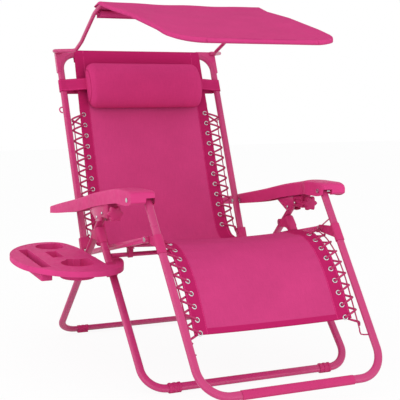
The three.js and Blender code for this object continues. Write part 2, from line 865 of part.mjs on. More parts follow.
// Steel channel that carries the armrest and straddles the top of the rear leg
function lockBracket(sign) {
  const x = sign * baseRailX;
  const half = bracketWidth / 2;
  const roof = (y) => stripLine(y) - seatGap;
  const outline = [
    [bracketRearY, roof(bracketRearY)],
    [bracketRearY, roof(bracketRearY) - bracketLip],
    [legTopRivet.y + bracketEar, legTopRivet.z - bracketEar],
    [legTopRivet.y - bracketEar, legTopRivet.z - bracketEar],
    [bracketFrontY, legTopRivet.z - bracketEar / 2],
    [bracketFrontY, roof(bracketFrontY)],
  ];
  const body = slab(outline.reverse(), x - half, x + half);
  const inner = half - bracketWall;
  const roofGap = bracketWall + seatGap;
  const channel = slab(
    [
      [bracketFrontY - cutOverrun, roof(bracketFrontY - cutOverrun) - roofGap],
      [bracketFrontY - cutOverrun, legTopRivet.z - 3 * bracketEar],
      [bracketRearY + cutOverrun, legTopRivet.z - 3 * bracketEar],
      [bracketRearY + cutOverrun, roof(bracketRearY + cutOverrun) - roofGap],
    ],
    x - inner,
    x + inner,
  );
  return cut(body, channel);
}

// Plastic lock block in front of the rear leg's end, with a bore for the knob's screw
function lockBlock(sign) {
  const x = sign * baseRailX;
  const half = blockWidth / 2;
  const rear = bracketFrontY - seatGap;
  const front = rear - blockLength;
  const roof = (y) => stripLine(y) - seatGap;
  const outline = [
    [front, blockLow],
    [front, roof(front)],
    [rear, roof(rear)],
    [rear, blockLow],
  ];
  const body = slab(outline.reverse(), x - half, x + half);
  const recess = slab(
    [
      [front + blockWall, knobHeight - blockRecess],
      [rear - blockWall, knobHeight - blockRecess],
      [rear - blockWall, knobHeight + blockRecess],
      [front + blockWall, knobHeight + blockRecess],
    ],
    sign > 0 ? x - half - cutOverrun : x + half - blockWall,
    sign > 0 ? x - half + blockWall : x + half + cutOverrun,
  );
  const bore = new THREE.CylinderGeometry(
    knobStemRadius + pivotGap,
    knobStemRadius + pivotGap,
    2 * knobStemDepth,
    12,
  ).translate(x, front, knobHeight);
  return cut(body, recess, bore);
}

// Star knob with a screw that enters the lock block
function lockKnob(sign) {
  const front = bracketFrontY - seatGap - blockLength;
  const outline = [];
  for (let k = 0; k < knobLobes * lobeSteps; k += 1) {
    const angle = (2 * Math.PI * k) / (knobLobes * lobeSteps);
    const radius = knobRadius - (knobLobeDepth * (1 - Math.cos(knobLobes * angle))) / 2;
    outline.push(new THREE.Vector2(radius * Math.cos(angle), radius * Math.sin(angle)));
  }
  const shape = new THREE.Shape(outline);
  const settings = {
    depth: knobThickness - 2 * knobEdge,
    bevelEnabled: true,
    bevelThickness: knobEdge,
    bevelSize: knobEdge,
    bevelOffset: -knobEdge,
    bevelSegments: 1,
  };
  const star = new THREE.ExtrudeGeometry(shape, settings);
  star.rotateX(Math.PI / 2).translate(0, front - knobNeck - knobEdge, 0);
  const stemLength = knobNeck + knobStemDepth - pivotGap + knobEdge;
  const stem = new THREE.CylinderGeometry(knobStemRadius, knobStemRadius, stemLength, 12);
  stem.translate(0, front - knobNeck - knobEdge + stemLength / 2, 0);
  return join(star, stem).translate(sign * baseRailX, 0, knobHeight);
}

function buildArmrests(root) {
  for (const { name, sign } of sides) {
    addPiece(root, `armrest_${name}`, armrest(sign), plastic);
    addPiece(root, `slide_strip_${name}`, slideStrip(sign), steel);
    addPiece(root, `lock_bracket_${name}`, lockBracket(sign), framePaint);
    addPiece(root, `lock_block_${name}`, lockBlock(sign), plastic);
    addPiece(root, `lock_knob_${name}`, lockKnob(sign), plastic);
    const railFace = backRailX - tubeWidth / 2 - seatGap;
    const spacer = [backRailX + tubeWidth / 2 + seatGap, armOuterX - armWidth - seatGap, spacerRadius];
    const rearEnd = armOuterX - armWidth + armWall + seatGap;
    const rearBolt = turnedOnSide(boltProfile(railFace, rearEnd, [spacer]), sign, backPivot);
    addPiece(root, `arm_rear_bolt_${name}`, rearBolt, steel);
    const innerFace = armOuterX - armWidth - armFlare - seatGap;
    const frontBolt = turnedOnSide(boltProfile(innerFace, armOuterX + seatGap), sign, legPivot);
    addPiece(root, `arm_front_bolt_${name}`, frontBolt, steel);
  }
}

// Back, legs and the links between them

const backRise = 90 - backLean;
const legRise = 90 - legLean;
const hipSeen = seenFrom(backPivot, backRise, hipPivot);
const kneeSeen = seenFrom(legPivot, legRise, kneePivot);

function backFrameTube() {
  const tube = uTube(backRailX, backRailX, -backTailReach, backTopReach, backTopRadius);
  return cut(tube, ...sides.map(({ sign }) => {
    const x = sign * backRailX;
    return rodAlongX(rivetRadius + seatGap, x - tubeWidth, x + tubeWidth, 0, 0);
  }));
}

function legRailX(reach) {
  return lerp(legRailTopX, legRailLowX, (reach + legTopReach) / (legBarReach + legTopReach));
}

function legFrameTube() {
  const tube = uTube(legRailTopX, legRailLowX, legTopReach, -legBarReach, legCornerRadius);
  return cut(tube, ...sides.map(({ sign }) => {
    const x = sign * legRailTopX;
    return rodAlongX(pinHole, x - tubeWidth, x + tubeWidth, 0, 0);
  }));
}

function legBarSleeve() {
  const half = legBarSleeveLength / 2;
  const route = [vector(-half, -legBarReach, 0), vector(half, -legBarReach, 0)];
  const grown = 2 * (seatGap + legBarSleeveWall);
  const body = sweep(ovalOutline(tubeWidth + grown, tubeDepth + grown), route, facing);
  const longer = [vector(-half - cutOverrun, -legBarReach, 0), vector(half + cutOverrun, -legBarReach, 0)];
  return cut(body, sweep(ovalOutline(tubeWidth + 2 * seatGap, tubeDepth + 2 * seatGap), longer, facing));
}

// A straight piece of the leg rail's own line, grown by a wall
function legRailPiece(sign, fromReach, toReach, grown) {
  const route = [fromReach, toReach].map((reach) => vector(sign * legRailX(reach), -reach, 0));
  return sweep(ovalOutline(tubeWidth + 2 * grown, tubeDepth + 2 * grown), route, facing);
}

// A sleeve on the leg rail with a lug that reaches back to the link
function kneeSleeve(sign) {
  const top = kneeSleeveReach - kneeSleeveLength / 2;
  const low = kneeSleeveReach + kneeSleeveLength / 2;
  const grown = seatGap + kneeSleeveWall;
  const sleeve = legRailPiece(sign, top, low, grown);
  const outline = [
    [-top - lugRadius / 2, 0],
    [-low + lugRadius / 2, 0],
    [-low + lugRadius / 2, -tubeDepth],
  ];
  for (let k = 0; k <= earSteps; k += 1) {
    const angle = -Math.PI * 0.75 + (Math.PI * k) / earSteps;
    outline.push([kneeSeen.v + lugRadius * Math.cos(angle), kneeSeen.n + lugRadius * Math.sin(angle)]);
  }
  outline.push([-top - lugRadius / 2, -tubeDepth]);
  const outerFace = linkX - linkWidth / 2 - seatGap;
  const [x0, x1] = [sign * (outerFace - lugThickness), sign * outerFace].sort((a, b) => a - b);
  const lug = slab(outline, x0, x1);
  const bore = legRailPiece(sign, top - cutOverrun, low + cutOverrun, seatGap);
  const hole = rodAlongX(pinHole, x0 - cutOverrun, x1 + cutOverrun, kneeSeen.v, kneeSeen.n);
  return cut(join(sleeve, lug), bore, hole);
}

// A plastic cap on the back rail's lower end, with ears beside the link and a pin between them
function hipCap(sign) {
  const x = sign * backRailX;
  const half = tubeWidth / 2 + seatGap + hipCapWall;
  const halfDepth = tubeDepth / 2 + seatGap + hipCapWall;
  const top = -backTailReach + hipCapLength;
  const outline = [[top, -halfDepth], [top, halfDepth]];
  outline.push([hipSeen.v, halfDepth]);
  for (let k = 0; k <= earSteps; k += 1) {
    const angle = Math.PI / 2 + (Math.PI * k) / earSteps;
    outline.push([hipSeen.v + hipEarRadius * Math.cos(angle), hipSeen.n + hipEarRadius * Math.sin(angle)]);
  }
  const body = slab(outline.reverse(), x - half, x + half);
  const pocket = sweep(
    ovalOutline(tubeWidth + 2 * seatGap, tubeDepth + 2 * seatGap),
    [vector(x, -backTailReach - seatGap, 0), vector(x, top + cutOverrun, 0)],
    facing,
  );
  const slotX = sign * linkX;
  const slotHalf = linkWidth / 2 + hipClearance;
  const slotTop = hipSeen.v + linkEndRadius + 2 * hipClearance;
  const slot = slab(
    [
      [slotTop, -hipEarRadius - cutOverrun],
      [slotTop, hipEarRadius + cutOverrun],
      [hipSeen.v - hipEarRadius - cutOverrun, hipEarRadius + cutOverrun],
      [hipSeen.v - hipEarRadius - cutOverrun, -hipEarRadius - cutOverrun],
    ],
    slotX - slotHalf,
    slotX + slotHalf,
  );
  const pin = rodAlongX(hipPinRadius, x - half + hipCapWall / 2, x + half - hipCapWall / 2, hipSeen.v, hipSeen.n);
  return join(cut(body, pocket, slot), pin);
}

// The flat link from the knee lug to the hip cap
function seatLink(sign) {
  const dy = hipPivot.y - kneePivot.y;
  const dz = hipPivot.z - kneePivot.z;
  const length = Math.hypot(dy, dz);
  const outline = [];
  const ends = [[length, 0, linkEndRadius], [0, Math.PI, linkEndRadius]];
  const waist = linkHeight / 2;
  for (const [place, start, radius] of ends) {
    const direction = start === 0 ? 1 : -1;
    outline.push([place - direction * linkEndTaper, -direction * waist]);
    for (let k = 0; k <= earSteps; k += 1) {
      const angle = start - Math.PI / 2 + (Math.PI * k) / earSteps;
      outline.push([place + radius * Math.cos(angle), radius * Math.sin(angle)]);
    }
    outline.push([place - direction * linkEndTaper, direction * waist]);
  }
  const x = sign * linkX;
  const half = linkWidth / 2;
  const body = slab(outline, x - half, x + half);
  const kneeHole = rodAlongX(pinHole, x - half - cutOverrun, x + half + cutOverrun, 0, 0);
  const hipHole = rodAlongX(hipPinRadius + hipClearance, x - half - cutOverrun, x + half + cutOverrun, length, 0);
  const link = cut(body, kneeHole, hipHole);
  return link.rotateX(Math.atan2(dz, dy)).translate(0, kneePivot.y, kneePivot.z);
}

// Sling, eyelets and lacing

// The sling's top end runs round the top bar at this distance from the bar's round edge
const hemRadius = tubeDepth / 2 + 2 * seatGap + slingThickness / 2;

// The back sling's side view in the back frame's own axes, from the hip up and over the top bar
const backSlingRoute = [
  [hipSeen.v + 17, hipSeen.n + 18],
  [-132, -4],
  [-88, -19],
  [0, -backSlingDrop],
  [150, -18],
  [300, -8],
  [430, -2],
  [530, 4],
  [backTopReach - tubeWidth / 2, hemRadius],
];

// The leg sling's side view in the leg frame's own axes, from the knee down
const legSlingRoute = [
  [-112, -82],
  [-135, -60],
  [-172, -38],
  [-216, -23],
  [-262, -16],
  [-306, -14],
  [-348, -16],
  [-389, -20],
  [-448, -26],
];

const seatSlingRoute = [
  [664.4, 357],
  [603, 365],
  [480, 383],
  [354, 408],
  [260, 430],
  [192, 443],
  [121, 443],
];

// A sling panel's middle line, and the frame of directions at any place along it
class SlingLine {
  constructor(route, facingSign, flatEnd = 0) {
    this.flatEnd = flatEnd;
    this.curve = new THREE.SplineCurve(route.map(([v, n]) => new THREE.Vector2(v, n)));
    this.length = this.curve.getLength();
    this.facingSign = facingSign;
  }

  at(distance) {
    const share = THREE.MathUtils.clamp(distance / this.length, 0, 1);
    const point = this.curve.getPointAt(share);
    const tangent = this.curve.getTangentAt(share);
    const along = vector(0, tangent.x, tangent.y);
    const front = vector(0, -tangent.y, tangent.x).multiplyScalar(this.facingSign);
    const place = vector(0, point.x, point.y).addScaledVector(along, distance - share * this.length);
    return { place, along, front };
  }

  // A place on the sheet or on its lacing, x across the chair
  point(distance, x, lift = 0) {
    const { place, front } = this.at(distance);
    const out = Math.abs(x) - eyeletX;
    const inner = eyeletX - edgeBand / 2;
    const share = Math.min(Math.abs(x) / inner, 1);
    const rise = out > inner - eyeletX ? edgeSlope * out : edgeSlope * (inner - eyeletX) - slingSag * (1 - share ** 2);
    const flatness = this.flatEnd ? THREE.MathUtils.clamp((this.length - distance) / this.flatEnd, 0, 1) : 1;
    return place.clone().addScaledVector(front, rise * flatness + lift).add(vector(x, 0, 0));
  }

  // Directions at an eyelet: across towards the rail, along the panel, and square to it
  eyeletFrame(distance, sign) {
    const { along, front } = this.at(distance);
    const across = vector(sign, 0, 0).addScaledVector(front, edgeSlope).normalize();
    const square = along.clone().cross(across).multiplyScalar(1).normalize();
    if (square.dot(front) < 0) {
      square.negate();
    }
    return { centre: this.point(distance, sign * eyeletX), across, along, square };
  }
}

const backLine = new SlingLine(backSlingRoute, 1, flatTopLength);
const legLine = new SlingLine(legSlingRoute, -1);
const columnShares = [-1, -0.86, -0.5, 0, 0.5, 0.86, 1];

function panelGrid(line, rowCount, halfWidthAt) {
  const grid = [];
  for (let r = 0; r <= rowCount; r += 1) {
    const distance = (line.length * r) / rowCount;
    grid.push(columnShares.map((share) => line.point(distance, share * halfWidthAt(distance))));
  }
  return grid;
}

// Metal eyelets set in the panel's edges, each with its hole
function withEyelets(panel, line, places) {
  let whole = toSolid(panel);
  for (const { sign } of sides) {
    for (const distance of places) {
      const { centre, across, along, square } = line.eyeletFrame(distance, sign);
      const toPlace = new THREE.Matrix4().makeBasis(across, square, across.clone().cross(square)).setPosition(centre);
      const height = slingThickness / 2 + eyeletRise;
      const ring = new THREE.CylinderGeometry(eyeletRadius, eyeletRadius, height, eyeletSides);
      ring.translate(0, height / 2, 0).applyMatrix4(toPlace);
      const hole = new THREE.CylinderGeometry(eyeletHole, eyeletHole, 4 * slingThickness, eyeletSides);
      hole.applyMatrix4(toPlace);
      whole = whole.add(toSolid(ring)).subtract(toSolid(hole));
    }
  }
  return toGeometry(whole);
}

const backEyeletPlaces = Array.from({ length: backEyelets }, (_, k) => backEyeletStart + k * backEyeletPitch);
const legEyeletPlaces = Array.from({ length: legEyelets }, (_, k) => legEyeletStart + k * legEyeletPitch);

function backSling() {
  const narrowing = (distance) => lerp(slingHalfWidth, slingTopHalfWidth, distance / backLine.length);
  const grid = panelGrid(backLine, backSlingRows, narrowing);
  const bendCentre = backTopReach + tubeWidth / 2 - tubeDepth / 2;
  const bendRadius = hemRadius / Math.cos(Math.PI / (2 * hemSteps));
  for (let k = 0; k <= hemSteps; k += 1) {
    const angle = Math.PI / 2 - (Math.PI * k) / hemSteps;
    const v = bendCentre + bendRadius * Math.cos(angle);
    const n = bendRadius * Math.sin(angle);
    grid.push(columnShares.map((share) => vector(share * slingTopHalfWidth, v, n)));
  }
  grid.push(columnShares.map((share) => vector(share * slingTopHalfWidth, backTopReach - hemLap, -bendRadius)));
  return withEyelets(sheet(grid, slingThickness), backLine, backEyeletPlaces);
}

function legSling() {
  const grid = panelGrid(legLine, legSlingRows, () => slingHalfWidth);
  return withEyelets(sheet(grid, slingThickness), legLine, legEyeletPlaces);
}

function seatSling() {
  const line = new SlingLine(seatSlingRoute, -1);
  return sheet(panelGrid(line, seatSlingRows, () => slingHalfWidth), slingThickness);
}

// The side cord beside a rail, which the lacing goes round
function sideCord(line, sign, railAt, from, to, tiedLow) {
  const points = [];
  for (let k = 0; k <= cordSteps; k += 1) {
    const distance = lerp(from, to, k / cordSteps);
    points.push(line.point(distance, sign * railAt(distance)));
  }
  const tied = (distance) => {
    const { y } = line.point(distance, 0);
    return vector(sign * (railAt(distance) + sideCordInset - sideCordRadius - seatGap), y, 0);
  };
  const low = tiedLow ? [tied(from - sideCordTie)] : [];
  const route = [...low, ...points, tied(to + sideCordTie)];
  return sweep(roundOutline(sideCordRadius, laceSides + 1), route);
}

// One elastic cord: in front of the sling to each eyelet, through it, and back behind round the side cord
function lacing(line, sign, places, pitch, railAt) {
  const turn = (sideCordRadius + laceRadius + laceGap) / Math.cos(Math.PI / 4);
  const lift = slingThickness / 2 + eyeletRise + laceRadius + laceGap;
  const points = [];
  const sidePoint = (distance, outShare, liftShare, shift) => {
    const { across, along, square } = line.eyeletFrame(distance, sign);
    return line.point(distance, sign * railAt(distance))
      .addScaledVector(across, turn * outShare)
      .addScaledVector(square, turn * liftShare)
      .addScaledVector(along, shift);
  };
  const first = places[0] - pitch / 2;
  points.push(sidePoint(first - laceTail, 0, 1, 0));
  for (const distance of places) {
    const { centre, across, square } = line.eyeletFrame(distance, sign);
    points.push(sidePoint(distance - pitch / 2, 1, 0, 0));
    points.push(sidePoint(distance - pitch / 2, 0, 1, laceShift));
    points.push(centre.clone().addScaledVector(across, laceShift / 2).addScaledVector(square, lift));
    points.push(centre.clone());
    points.push(centre.clone().addScaledVector(across, laceShift / 2).addScaledVector(square, -lift));
    points.push(sidePoint(distance + pitch / 2, 0, -1, -laceShift));
  }
  const last = places[places.length - 1] + pitch / 2;
  points.push(sidePoint(last, 1, 0, 0));
  points.push(sidePoint(last + laceTail, 0, 1, 0));
  return sweep(roundOutline(laceRadius, laceSides), points);
}

function buildSling(root, back, legs) {
  addPiece(back, 'back_sling', backSling(), slingCloth);
  addPiece(legs, 'leg_sling', legSling(), slingCloth);
  addPiece(root, 'seat_sling', seatSling(), slingCloth);
  const backRailAt = () => backRailX - tubeWidth / 2 - sideCordInset;
  const legRailAt = (distance) => legRailX(-legLine.at(distance).place.y) - tubeWidth / 2 - sideCordInset;
  for (const { name, sign } of sides) {
    const backEnds = [backEyeletPlaces[0], backEyeletPlaces[backEyelets - 1]];
    const backCord = sideCord(backLine, sign, backRailAt, backEnds[0] - cordTail, backEnds[1] + cordTail, false);
    addPiece(back, `back_side_cord_${name}`, backCord, elastic);
    const legEnds = [legEyeletPlaces[0], legEyeletPlaces[legEyelets - 1]];
    const legCord = sideCord(legLine, sign, legRailAt, legEnds[0] - cordTail, legEnds[1] + cordTail, true);
    addPiece(legs, `leg_side_cord_${name}`, legCord, elastic);
    const backLace = lacing(backLine, sign, backEyeletPlaces, backEyeletPitch, backRailAt);
    addPiece(back, `back_lacing_${name}`, backLace, elastic);
    const legLace = lacing(legLine, sign, legEyeletPlaces, legEyeletPitch, legRailAt);
    addPiece(legs, `leg_lacing_${name}`, legLace, elastic);
  }
}

// Canopy

// The wire's route on the right side, from its pivot to the front, as shares of the canopy's
// reach forward, its height above the pivot and its side places
const canopyRouteShares = [
  { forward: 0, up: 0, x: canopyPivotX },
  { forward: 0.03, up: 0, x: canopyPivotX },
  { forward: 0.091, up: 0, x: canopySideX },
  { forward: 0.158, up: 0.2, x: canopySideX },
  { forward: 0.325, up: 0.81, x: canopyRearX },
  { forward: 0.393, up: 1, x: canopyRearX },
  { forward: 0.483, up: 0.83, x: canopySideX },
  { forward: 0.651, up: 0.59, x: canopySideX - canopyTaper / 2 },
  { forward: 0.858, up: 0.22, x: canopySideX - canopyTaper },
  { forward: 1, up: -0.08, x: canopySideX - canopyTaper },
];

// Bend radii at the route's corners
const canopyBends = [
  canopyWireRadius * canopyEyeBendShare,
  canopyElbowRadius,
  canopyElbowRadius,
  canopyElbowRadius,
  canopyGentleRadius,
  canopyElbowRadius,
  canopyGentleRadius,
  canopyGentleRadius,
  canopyGentleRadius,
  canopyFrontRadius,
];

const canopyRoute = canopyRouteShares.map(({ forward, up, x }) => vector(
  x,
  -canopyReach * forward,
  canopyHeight * up,
));

// The wire's centre line, from one pivot round the front to the other
function canopyWireLine() {
  const right = [vector(canopyPivotX - canopyEyeLength, 0, 0), ...canopyRoute];
  const left = right.map((point) => vector(-point.x, point.y, point.z)).reverse();
  return rounded([...right, ...left], [...canopyBends, ...canopyBends.slice().reverse()], canopyBendSteps);
}

function canopyWire() {
  return sweep(roundOutline(canopyWireRadius, canopyWireSides), canopyWireLine());
}

// A rod across the rear of the canopy, between the wire's two sides
function canopyCrossRod() {
  const place = canopyRoute[canopyRodIndex];
  const reach = place.x - canopyWireRadius - seatGap;
  return rodAlongX(canopyRodRadius, -reach, reach, place.y, place.z, canopyWireSides);
}

// One row of the cloth across the chair: a sagging roof, a shoulder past the wire and a hem
function clothRow(y, z, half, sag, drop) {
  const roof = canopyColumnShares.map((share) => vector(share * half, y, z - sag * (1 - share ** 2)));
  const edge = [[half + canopyHemStep, 0], [half + 2 * canopyHemStep, drop]];
  const left = edge.map(([x, fall]) => vector(-x, y, z - fall)).reverse();
  return [...left, ...roof, ...edge.map(([x, fall]) => vector(x, y, z - fall))];
}

// The cloth over the wire: a flap behind, a rolled top, a sagging roof and drawn-down edges
function canopyCloth() {
  const clear = canopyWireRadius + canopyClothGap + canopyClothThickness / 2;
  const rear = canopyRoute[canopyRodIndex];
  const flapHalf = rear.x - 2 * clear;
  const flapZ = rear.z + clear - canopyFlapHeight;
  const grid = [
    clothRow(rear.y + clear, flapZ, flapHalf, 0, 0),
    clothRow(rear.y + clear, rear.z, flapHalf, 0, 0),
    clothRow(rear.y + clear / 2, rear.z + clear, flapHalf, 0, 0),
    clothRow(rear.y - clear / 2, rear.z + clear * canopyRollShare, flapHalf, 0, canopyHemStep),
  ];
  const roll = canopyRoute[canopyRodIndex + 1];
  const start = rear.clone().lerp(roll, (3 * clear) / (rear.y - roll.y));
  grid.push(clothRow(start.y, start.z + clear * canopyRollShare, start.x + clear, 0, canopyHemStep));
  const wire = canopyWireLine();
  const side = wire.slice(0, wire.length / 2).filter((point) => point.y < start.y - clear);
  side.forEach((point, index) => {
    const before = side[Math.max(index - 1, 0)];
    const after = side[Math.min(index + 1, side.length - 1)];
    const along = new THREE.Vector2(after.x - before.x, after.y - before.y).normalize();
    const share = (rear.y - point.y) / (rear.y + canopyReach);
    const sag = canopySag * Math.sin(Math.PI * share);
    const y = point.y + clear * along.x;
    const half = point.x - clear * along.y;
    grid.push(clothRow(y, point.z + clear, half, sag, canopyHemDrop));
  });
  const last = side[side.length - 1];
  const hemY = -canopyReach - clear;
  grid.push(clothRow(hemY, last.z + clear, last.x, 0, canopyHemDrop));
  grid.push(clothRow(hemY - canopyHemStep, last.z + clear - canopyHemDrop, last.x, 0, canopyHemStep));
  return sheet(grid, canopyClothThickness);
}

// A plastic corner on the back frame, with the boss that the canopy's wire turns in
function canopyBracket(sign) {
  const high = backTopReach + tubeWidth / 2 + canopyBracketWall;
  const outerX = backRailX + tubeWidth / 2 + canopyBracketWall;
  const innerX = slingTopHalfWidth + canopyBracketWall;
  const low = backTopReach - backTopRadius - canopyBracketWall;
  const innerRail = backRailX - tubeWidth / 2 - canopyBracketWall;
  const outline = [
    [innerX, high],
    [innerX, backTopReach - tubeWidth / 2 - canopyBracketWall],
    [innerRail, low + (innerRail - innerX)],
    [innerRail, low],
    [outerX, low],
    [outerX, high],
  ].map(([x, v]) => new THREE.Vector2(sign * x, v));
  const thickness = tubeDepth + 2 * (canopyBracketWall + seatGap);
  const corner = plate(outline, thickness);
  const pivot = seenFrom(backPivot, backRise, canopyPivot);
  const bossRadius = canopyWireRadius + canopyBracketWall + pivotGap;
  const boss = alongXBetween(bossRadius, sign, outerX - canopyBossLength, outerX, { y: pivot.v, z: pivot.n });
  const wireHole = alongXBetween(
    canopyWireRadius + pivotGap,
    sign,
    canopyPivotX - canopyEyeLength - seatGap,
    outerX + cutOverrun,
    { y: pivot.v, z: pivot.n },
  );
  const grown = uTubeGrown(seatGap);
  return cut(join(corner, boss), grown, wireHole);
}

function uTubeGrown(clearance) {
  const corners = [
    vector(-backRailX, -backTailReach, 0),
    vector(-backRailX, backTopReach, 0),
    vector(backRailX, backTopReach, 0),
    vector(backRailX, -backTailReach, 0),
  ];
  const outline = ovalOutline(tubeWidth + 2 * clearance, tubeDepth + 2 * clearance);
  return sweep(outline, rounded(corners, backTopRadius), facing);
}

function buildCanopy(root, back) {
  const canopy = new THREE.Group();
  canopy.position.set(0, canopyPivot.y, canopyPivot.z);
  root.add(canopy);
  addPiece(canopy, 'canopy_wire', canopyWire(), framePaint);
  addPiece(canopy, 'canopy_cross_rod', canopyCrossRod(), framePaint);
  addPiece(canopy, 'canopy_cloth', canopyCloth(), slingCloth);
  for (const { name, sign } of sides) {
    addPiece(back, `canopy_bracket_${name}`, canopyBracket(sign), plastic);
  }
}

// Pillow

// A half-round bolster whose flat back lies on the sling
function pillow() {
  const low = backLine.at(pillowStart);
  const high = backLine.at(pillowStart + pillowHeight);
  const up = high.place.clone().sub(low.place).normalize();
  const front = vector(0, -up.z, up.y);
  const middle = low.place.clone().add(high.place).multiplyScalar(0.5);
  const rings = pillowStationShares.map(({ along, size }) => {
    const ring = [];
    const halfHeight = (pillowHeight / 2) * size;
    for (let k = 0; k <= pillowRoundSteps; k += 1) {
      const angle = (Math.PI * k) / pillowRoundSteps;
      ring.push(vector((along * pillowLength) / 2, 0, 0)
        .add(middle)
        .addScaledVector(up, halfHeight * Math.cos(angle))
        .addScaledVector(front, pillowSeat + pillowEdge + (pillowDepth * size - pillowEdge) * Math.sin(angle)));
    }
    ring.push(vector((along * pillowLength) / 2, 0, 0).add(middle)
      .addScaledVector(up, -halfHeight * pillowBackShare).addScaledVector(front, pillowSeat));
    ring.push(vector((along * pillowLength) / 2, 0, 0).add(middle)
      .addScaledVector(up, halfHeight * pillowBackShare).addScaledVector(front, pillowSeat));
    return ring;
  });
  return loft(rings);
}

// One elastic band from the pillow's ends round both rails and behind the sling
function pillowStrap() {
  const reach = backLine.at(pillowStart + pillowHeight / 2).place;
  const end = pillowLength / 2 + 2 * seatGap;
  const clear = tubeDepth / 2 + seatGap + strapThickness;
  const outer = backRailX + tubeWidth / 2 + seatGap + strapThickness;
  const inner = backRailX - tubeWidth / 2;
  const right = [
    [end, reach.z + strapFront],
    [inner, clear],
    [outer - clear / 2, clear],
    [outer, clear / 2],
    [outer, -clear / 2],
    [outer - clear / 2, -clear],
    [inner, -strapBehind],
  ];
  const route = [...right, ...right.map(([x, n]) => [-x, n]).reverse()];
  const points = route.map(([x, n]) => vector(x, reach.y, n));
  const band = [
    [-strapThickness / 2, -strapHeight / 2],
    [strapThickness / 2, -strapHeight / 2],
    [strapThickness / 2, strapHeight / 2],
    [-strapThickness / 2, strapHeight / 2],
  ].map(([x, y]) => new THREE.Vector2(x, y));
  return sweep(band, points, vector(0, 1, 0));
}

// Tray

// The tray's outline as shares of its half-width and half-length, from the tongue round the rear
const trayOutlineShares = [
  [0.88, -0.32],
  [0.5, -0.24],
  [0.45, 0.1],
  [0.43, 0.5],
  [0.26, 0.9],
  [-0.14, 0.99],
  [-0.6, 0.82],
  [-0.92, 0.44],
  [-1, 0],
  [-0.88, -0.44],
  [-0.5, -0.82],
  [-0.04, -0.98],
  [0.42, -0.97],
  [0.72, -0.76],
];

function trayOutline(inset) {
  const points = trayOutlineShares.map(([x, y]) => vector(
    x * (trayWidth / 2 - inset),
    y * (trayLength / 2 - inset),
    0,
  ));
  const curve = new THREE.CatmullRomCurve3(points, true);
  return curve.getPoints(trayOutlineSteps).slice(0, -1).map(({ x, y }) => new THREE.Vector2(x, y));
}

function roundedBoxOutline(x, y, width, length, radius) {
  const points = [];
  for (const [sx, sy, start] of [[1, 1, 0], [-1, 1, 1], [-1, -1, 2], [1, -1, 3]]) {
    for (let k = 0; k <= 2; k += 1) {
      const angle = (Math.PI / 2) * (start + k / 2);
      points.push(new THREE.Vector2(
        x + sx * (width / 2 - radius) + radius * Math.cos(angle),
        y + sy * (length / 2 - radius) + radius * Math.sin(angle),
      ));
    }
  }
  return points;
}

// A thin tray with a rim, two cups, a long slot with a pocket, and a second pocket
function tray() {
  const below = (outline, top, depth) => plate(outline, depth).translate(0, 0, top - depth / 2);
  const top = below(trayOutline(0), 0, trayThickness);
  const skirt = cut(
    below(trayOutline(0), 0, trayRimHeight),
    below(trayOutline(trayRimWall), -trayThickness / 2, trayRimHeight + cutOverrun),
  );
  const wells = [];
  const openings = [];
  for (const { x, y, radius } of trayCups) {
    const at = (size) => roundOutline(size, trayCupSides).map((point) => point.add(new THREE.Vector2(x, y)));
    wells.push(below(at(radius + trayRimWall), 0, trayCupDepth));
    openings.push(below(at(radius), cutOverrun, trayCupDepth + cutOverrun - trayThickness));
  }
  for (const { x, y, width, length, depth, floor } of trayPockets) {
    const wall = roundedBoxOutline(x, y, width + 2 * trayRimWall, length + 2 * trayRimWall, trayPocketRadius);
    wells.push(below(wall, 0, depth));
    const hollow = roundedBoxOutline(x, y, width, length, trayPocketRadius / 2);
    openings.push(below(hollow, cutOverrun, depth + cutOverrun - floor));
  }
  const lugX = trayLugX - trayCentre.x;
  const lugY = trayPivot.y - trayCentre.y;
  const lugLow = trayPivot.z - trayHeight;
  const lug = slab(
    [
      [lugY - trayLugRadius, -trayThickness / 2],
      [lugY - trayLugRadius, lugLow],
      [lugY - trayLugRadius / 2, lugLow - trayLugRadius],
      [lugY + trayLugRadius / 2, lugLow - trayLugRadius],
      [lugY + trayLugRadius, lugLow],
      [lugY + 2 * trayLugRadius, -trayThickness / 2],
    ],
    lugX - trayLugWall,
    lugX,
  );
  const hole = rodAlongX(clampScrewRadius + pivotGap, lugX - trayLugWall - cutOverrun, lugX + cutOverrun, lugY, lugLow);
  const notch = below(trayNotch(), cutOverrun, trayRimHeight + 2 * cutOverrun);
  return cut(join(top, skirt, ...wells, lug), ...openings, notch, hole);
}

// The opening that the front leg passes through, open to the rear so that the base can fold
function trayNotch() {
  const x = -baseRailX - trayCentre.x;
  const crossing = frontBar.y + (trayHeight - frontBar.z) / Math.tan(degrees(frontLegRise)) - trayCentre.y;
  const middle = crossing + trayNotchLength / 2 - trayNotchFront;
  return roundedBoxOutline(x, middle, tubeWidth + 2 * trayNotchPlay, trayNotchLength, trayPocketRadius);
}

// A clamp round the left front leg, with a hole for its screw
function trayClamp() {
  const grown = tubeWidth / 2 + seatGap + clampWall;
  const depth = tubeDepth / 2 + seatGap + clampWall;
  const x = -baseRailX;
  const seen = seenFrom(frontBar, frontLegRise, trayPivot);
  const body = slab(
    [
      [seen.v - clampLength / 2, -depth],
      [seen.v + clampLength / 2, -depth],
      [seen.v + clampLength / 2, depth],
      [seen.v - clampLength / 2, depth],
    ],
    x - grown,
    x + grown,
  );
  const bore = sweep(
    ovalOutline(tubeWidth + 2 * seatGap, tubeDepth + 2 * seatGap),
    [vector(x, seen.v - clampLength, 0), vector(x, seen.v + clampLength, 0)],
    facing,
  );
  const screwHole = rodAlongX(clampScrewRadius + seatGap, x - 2 * grown, x - tubeWidth / 2, seen.v, seen.n);
  return cut(body, bore, screwHole);
}

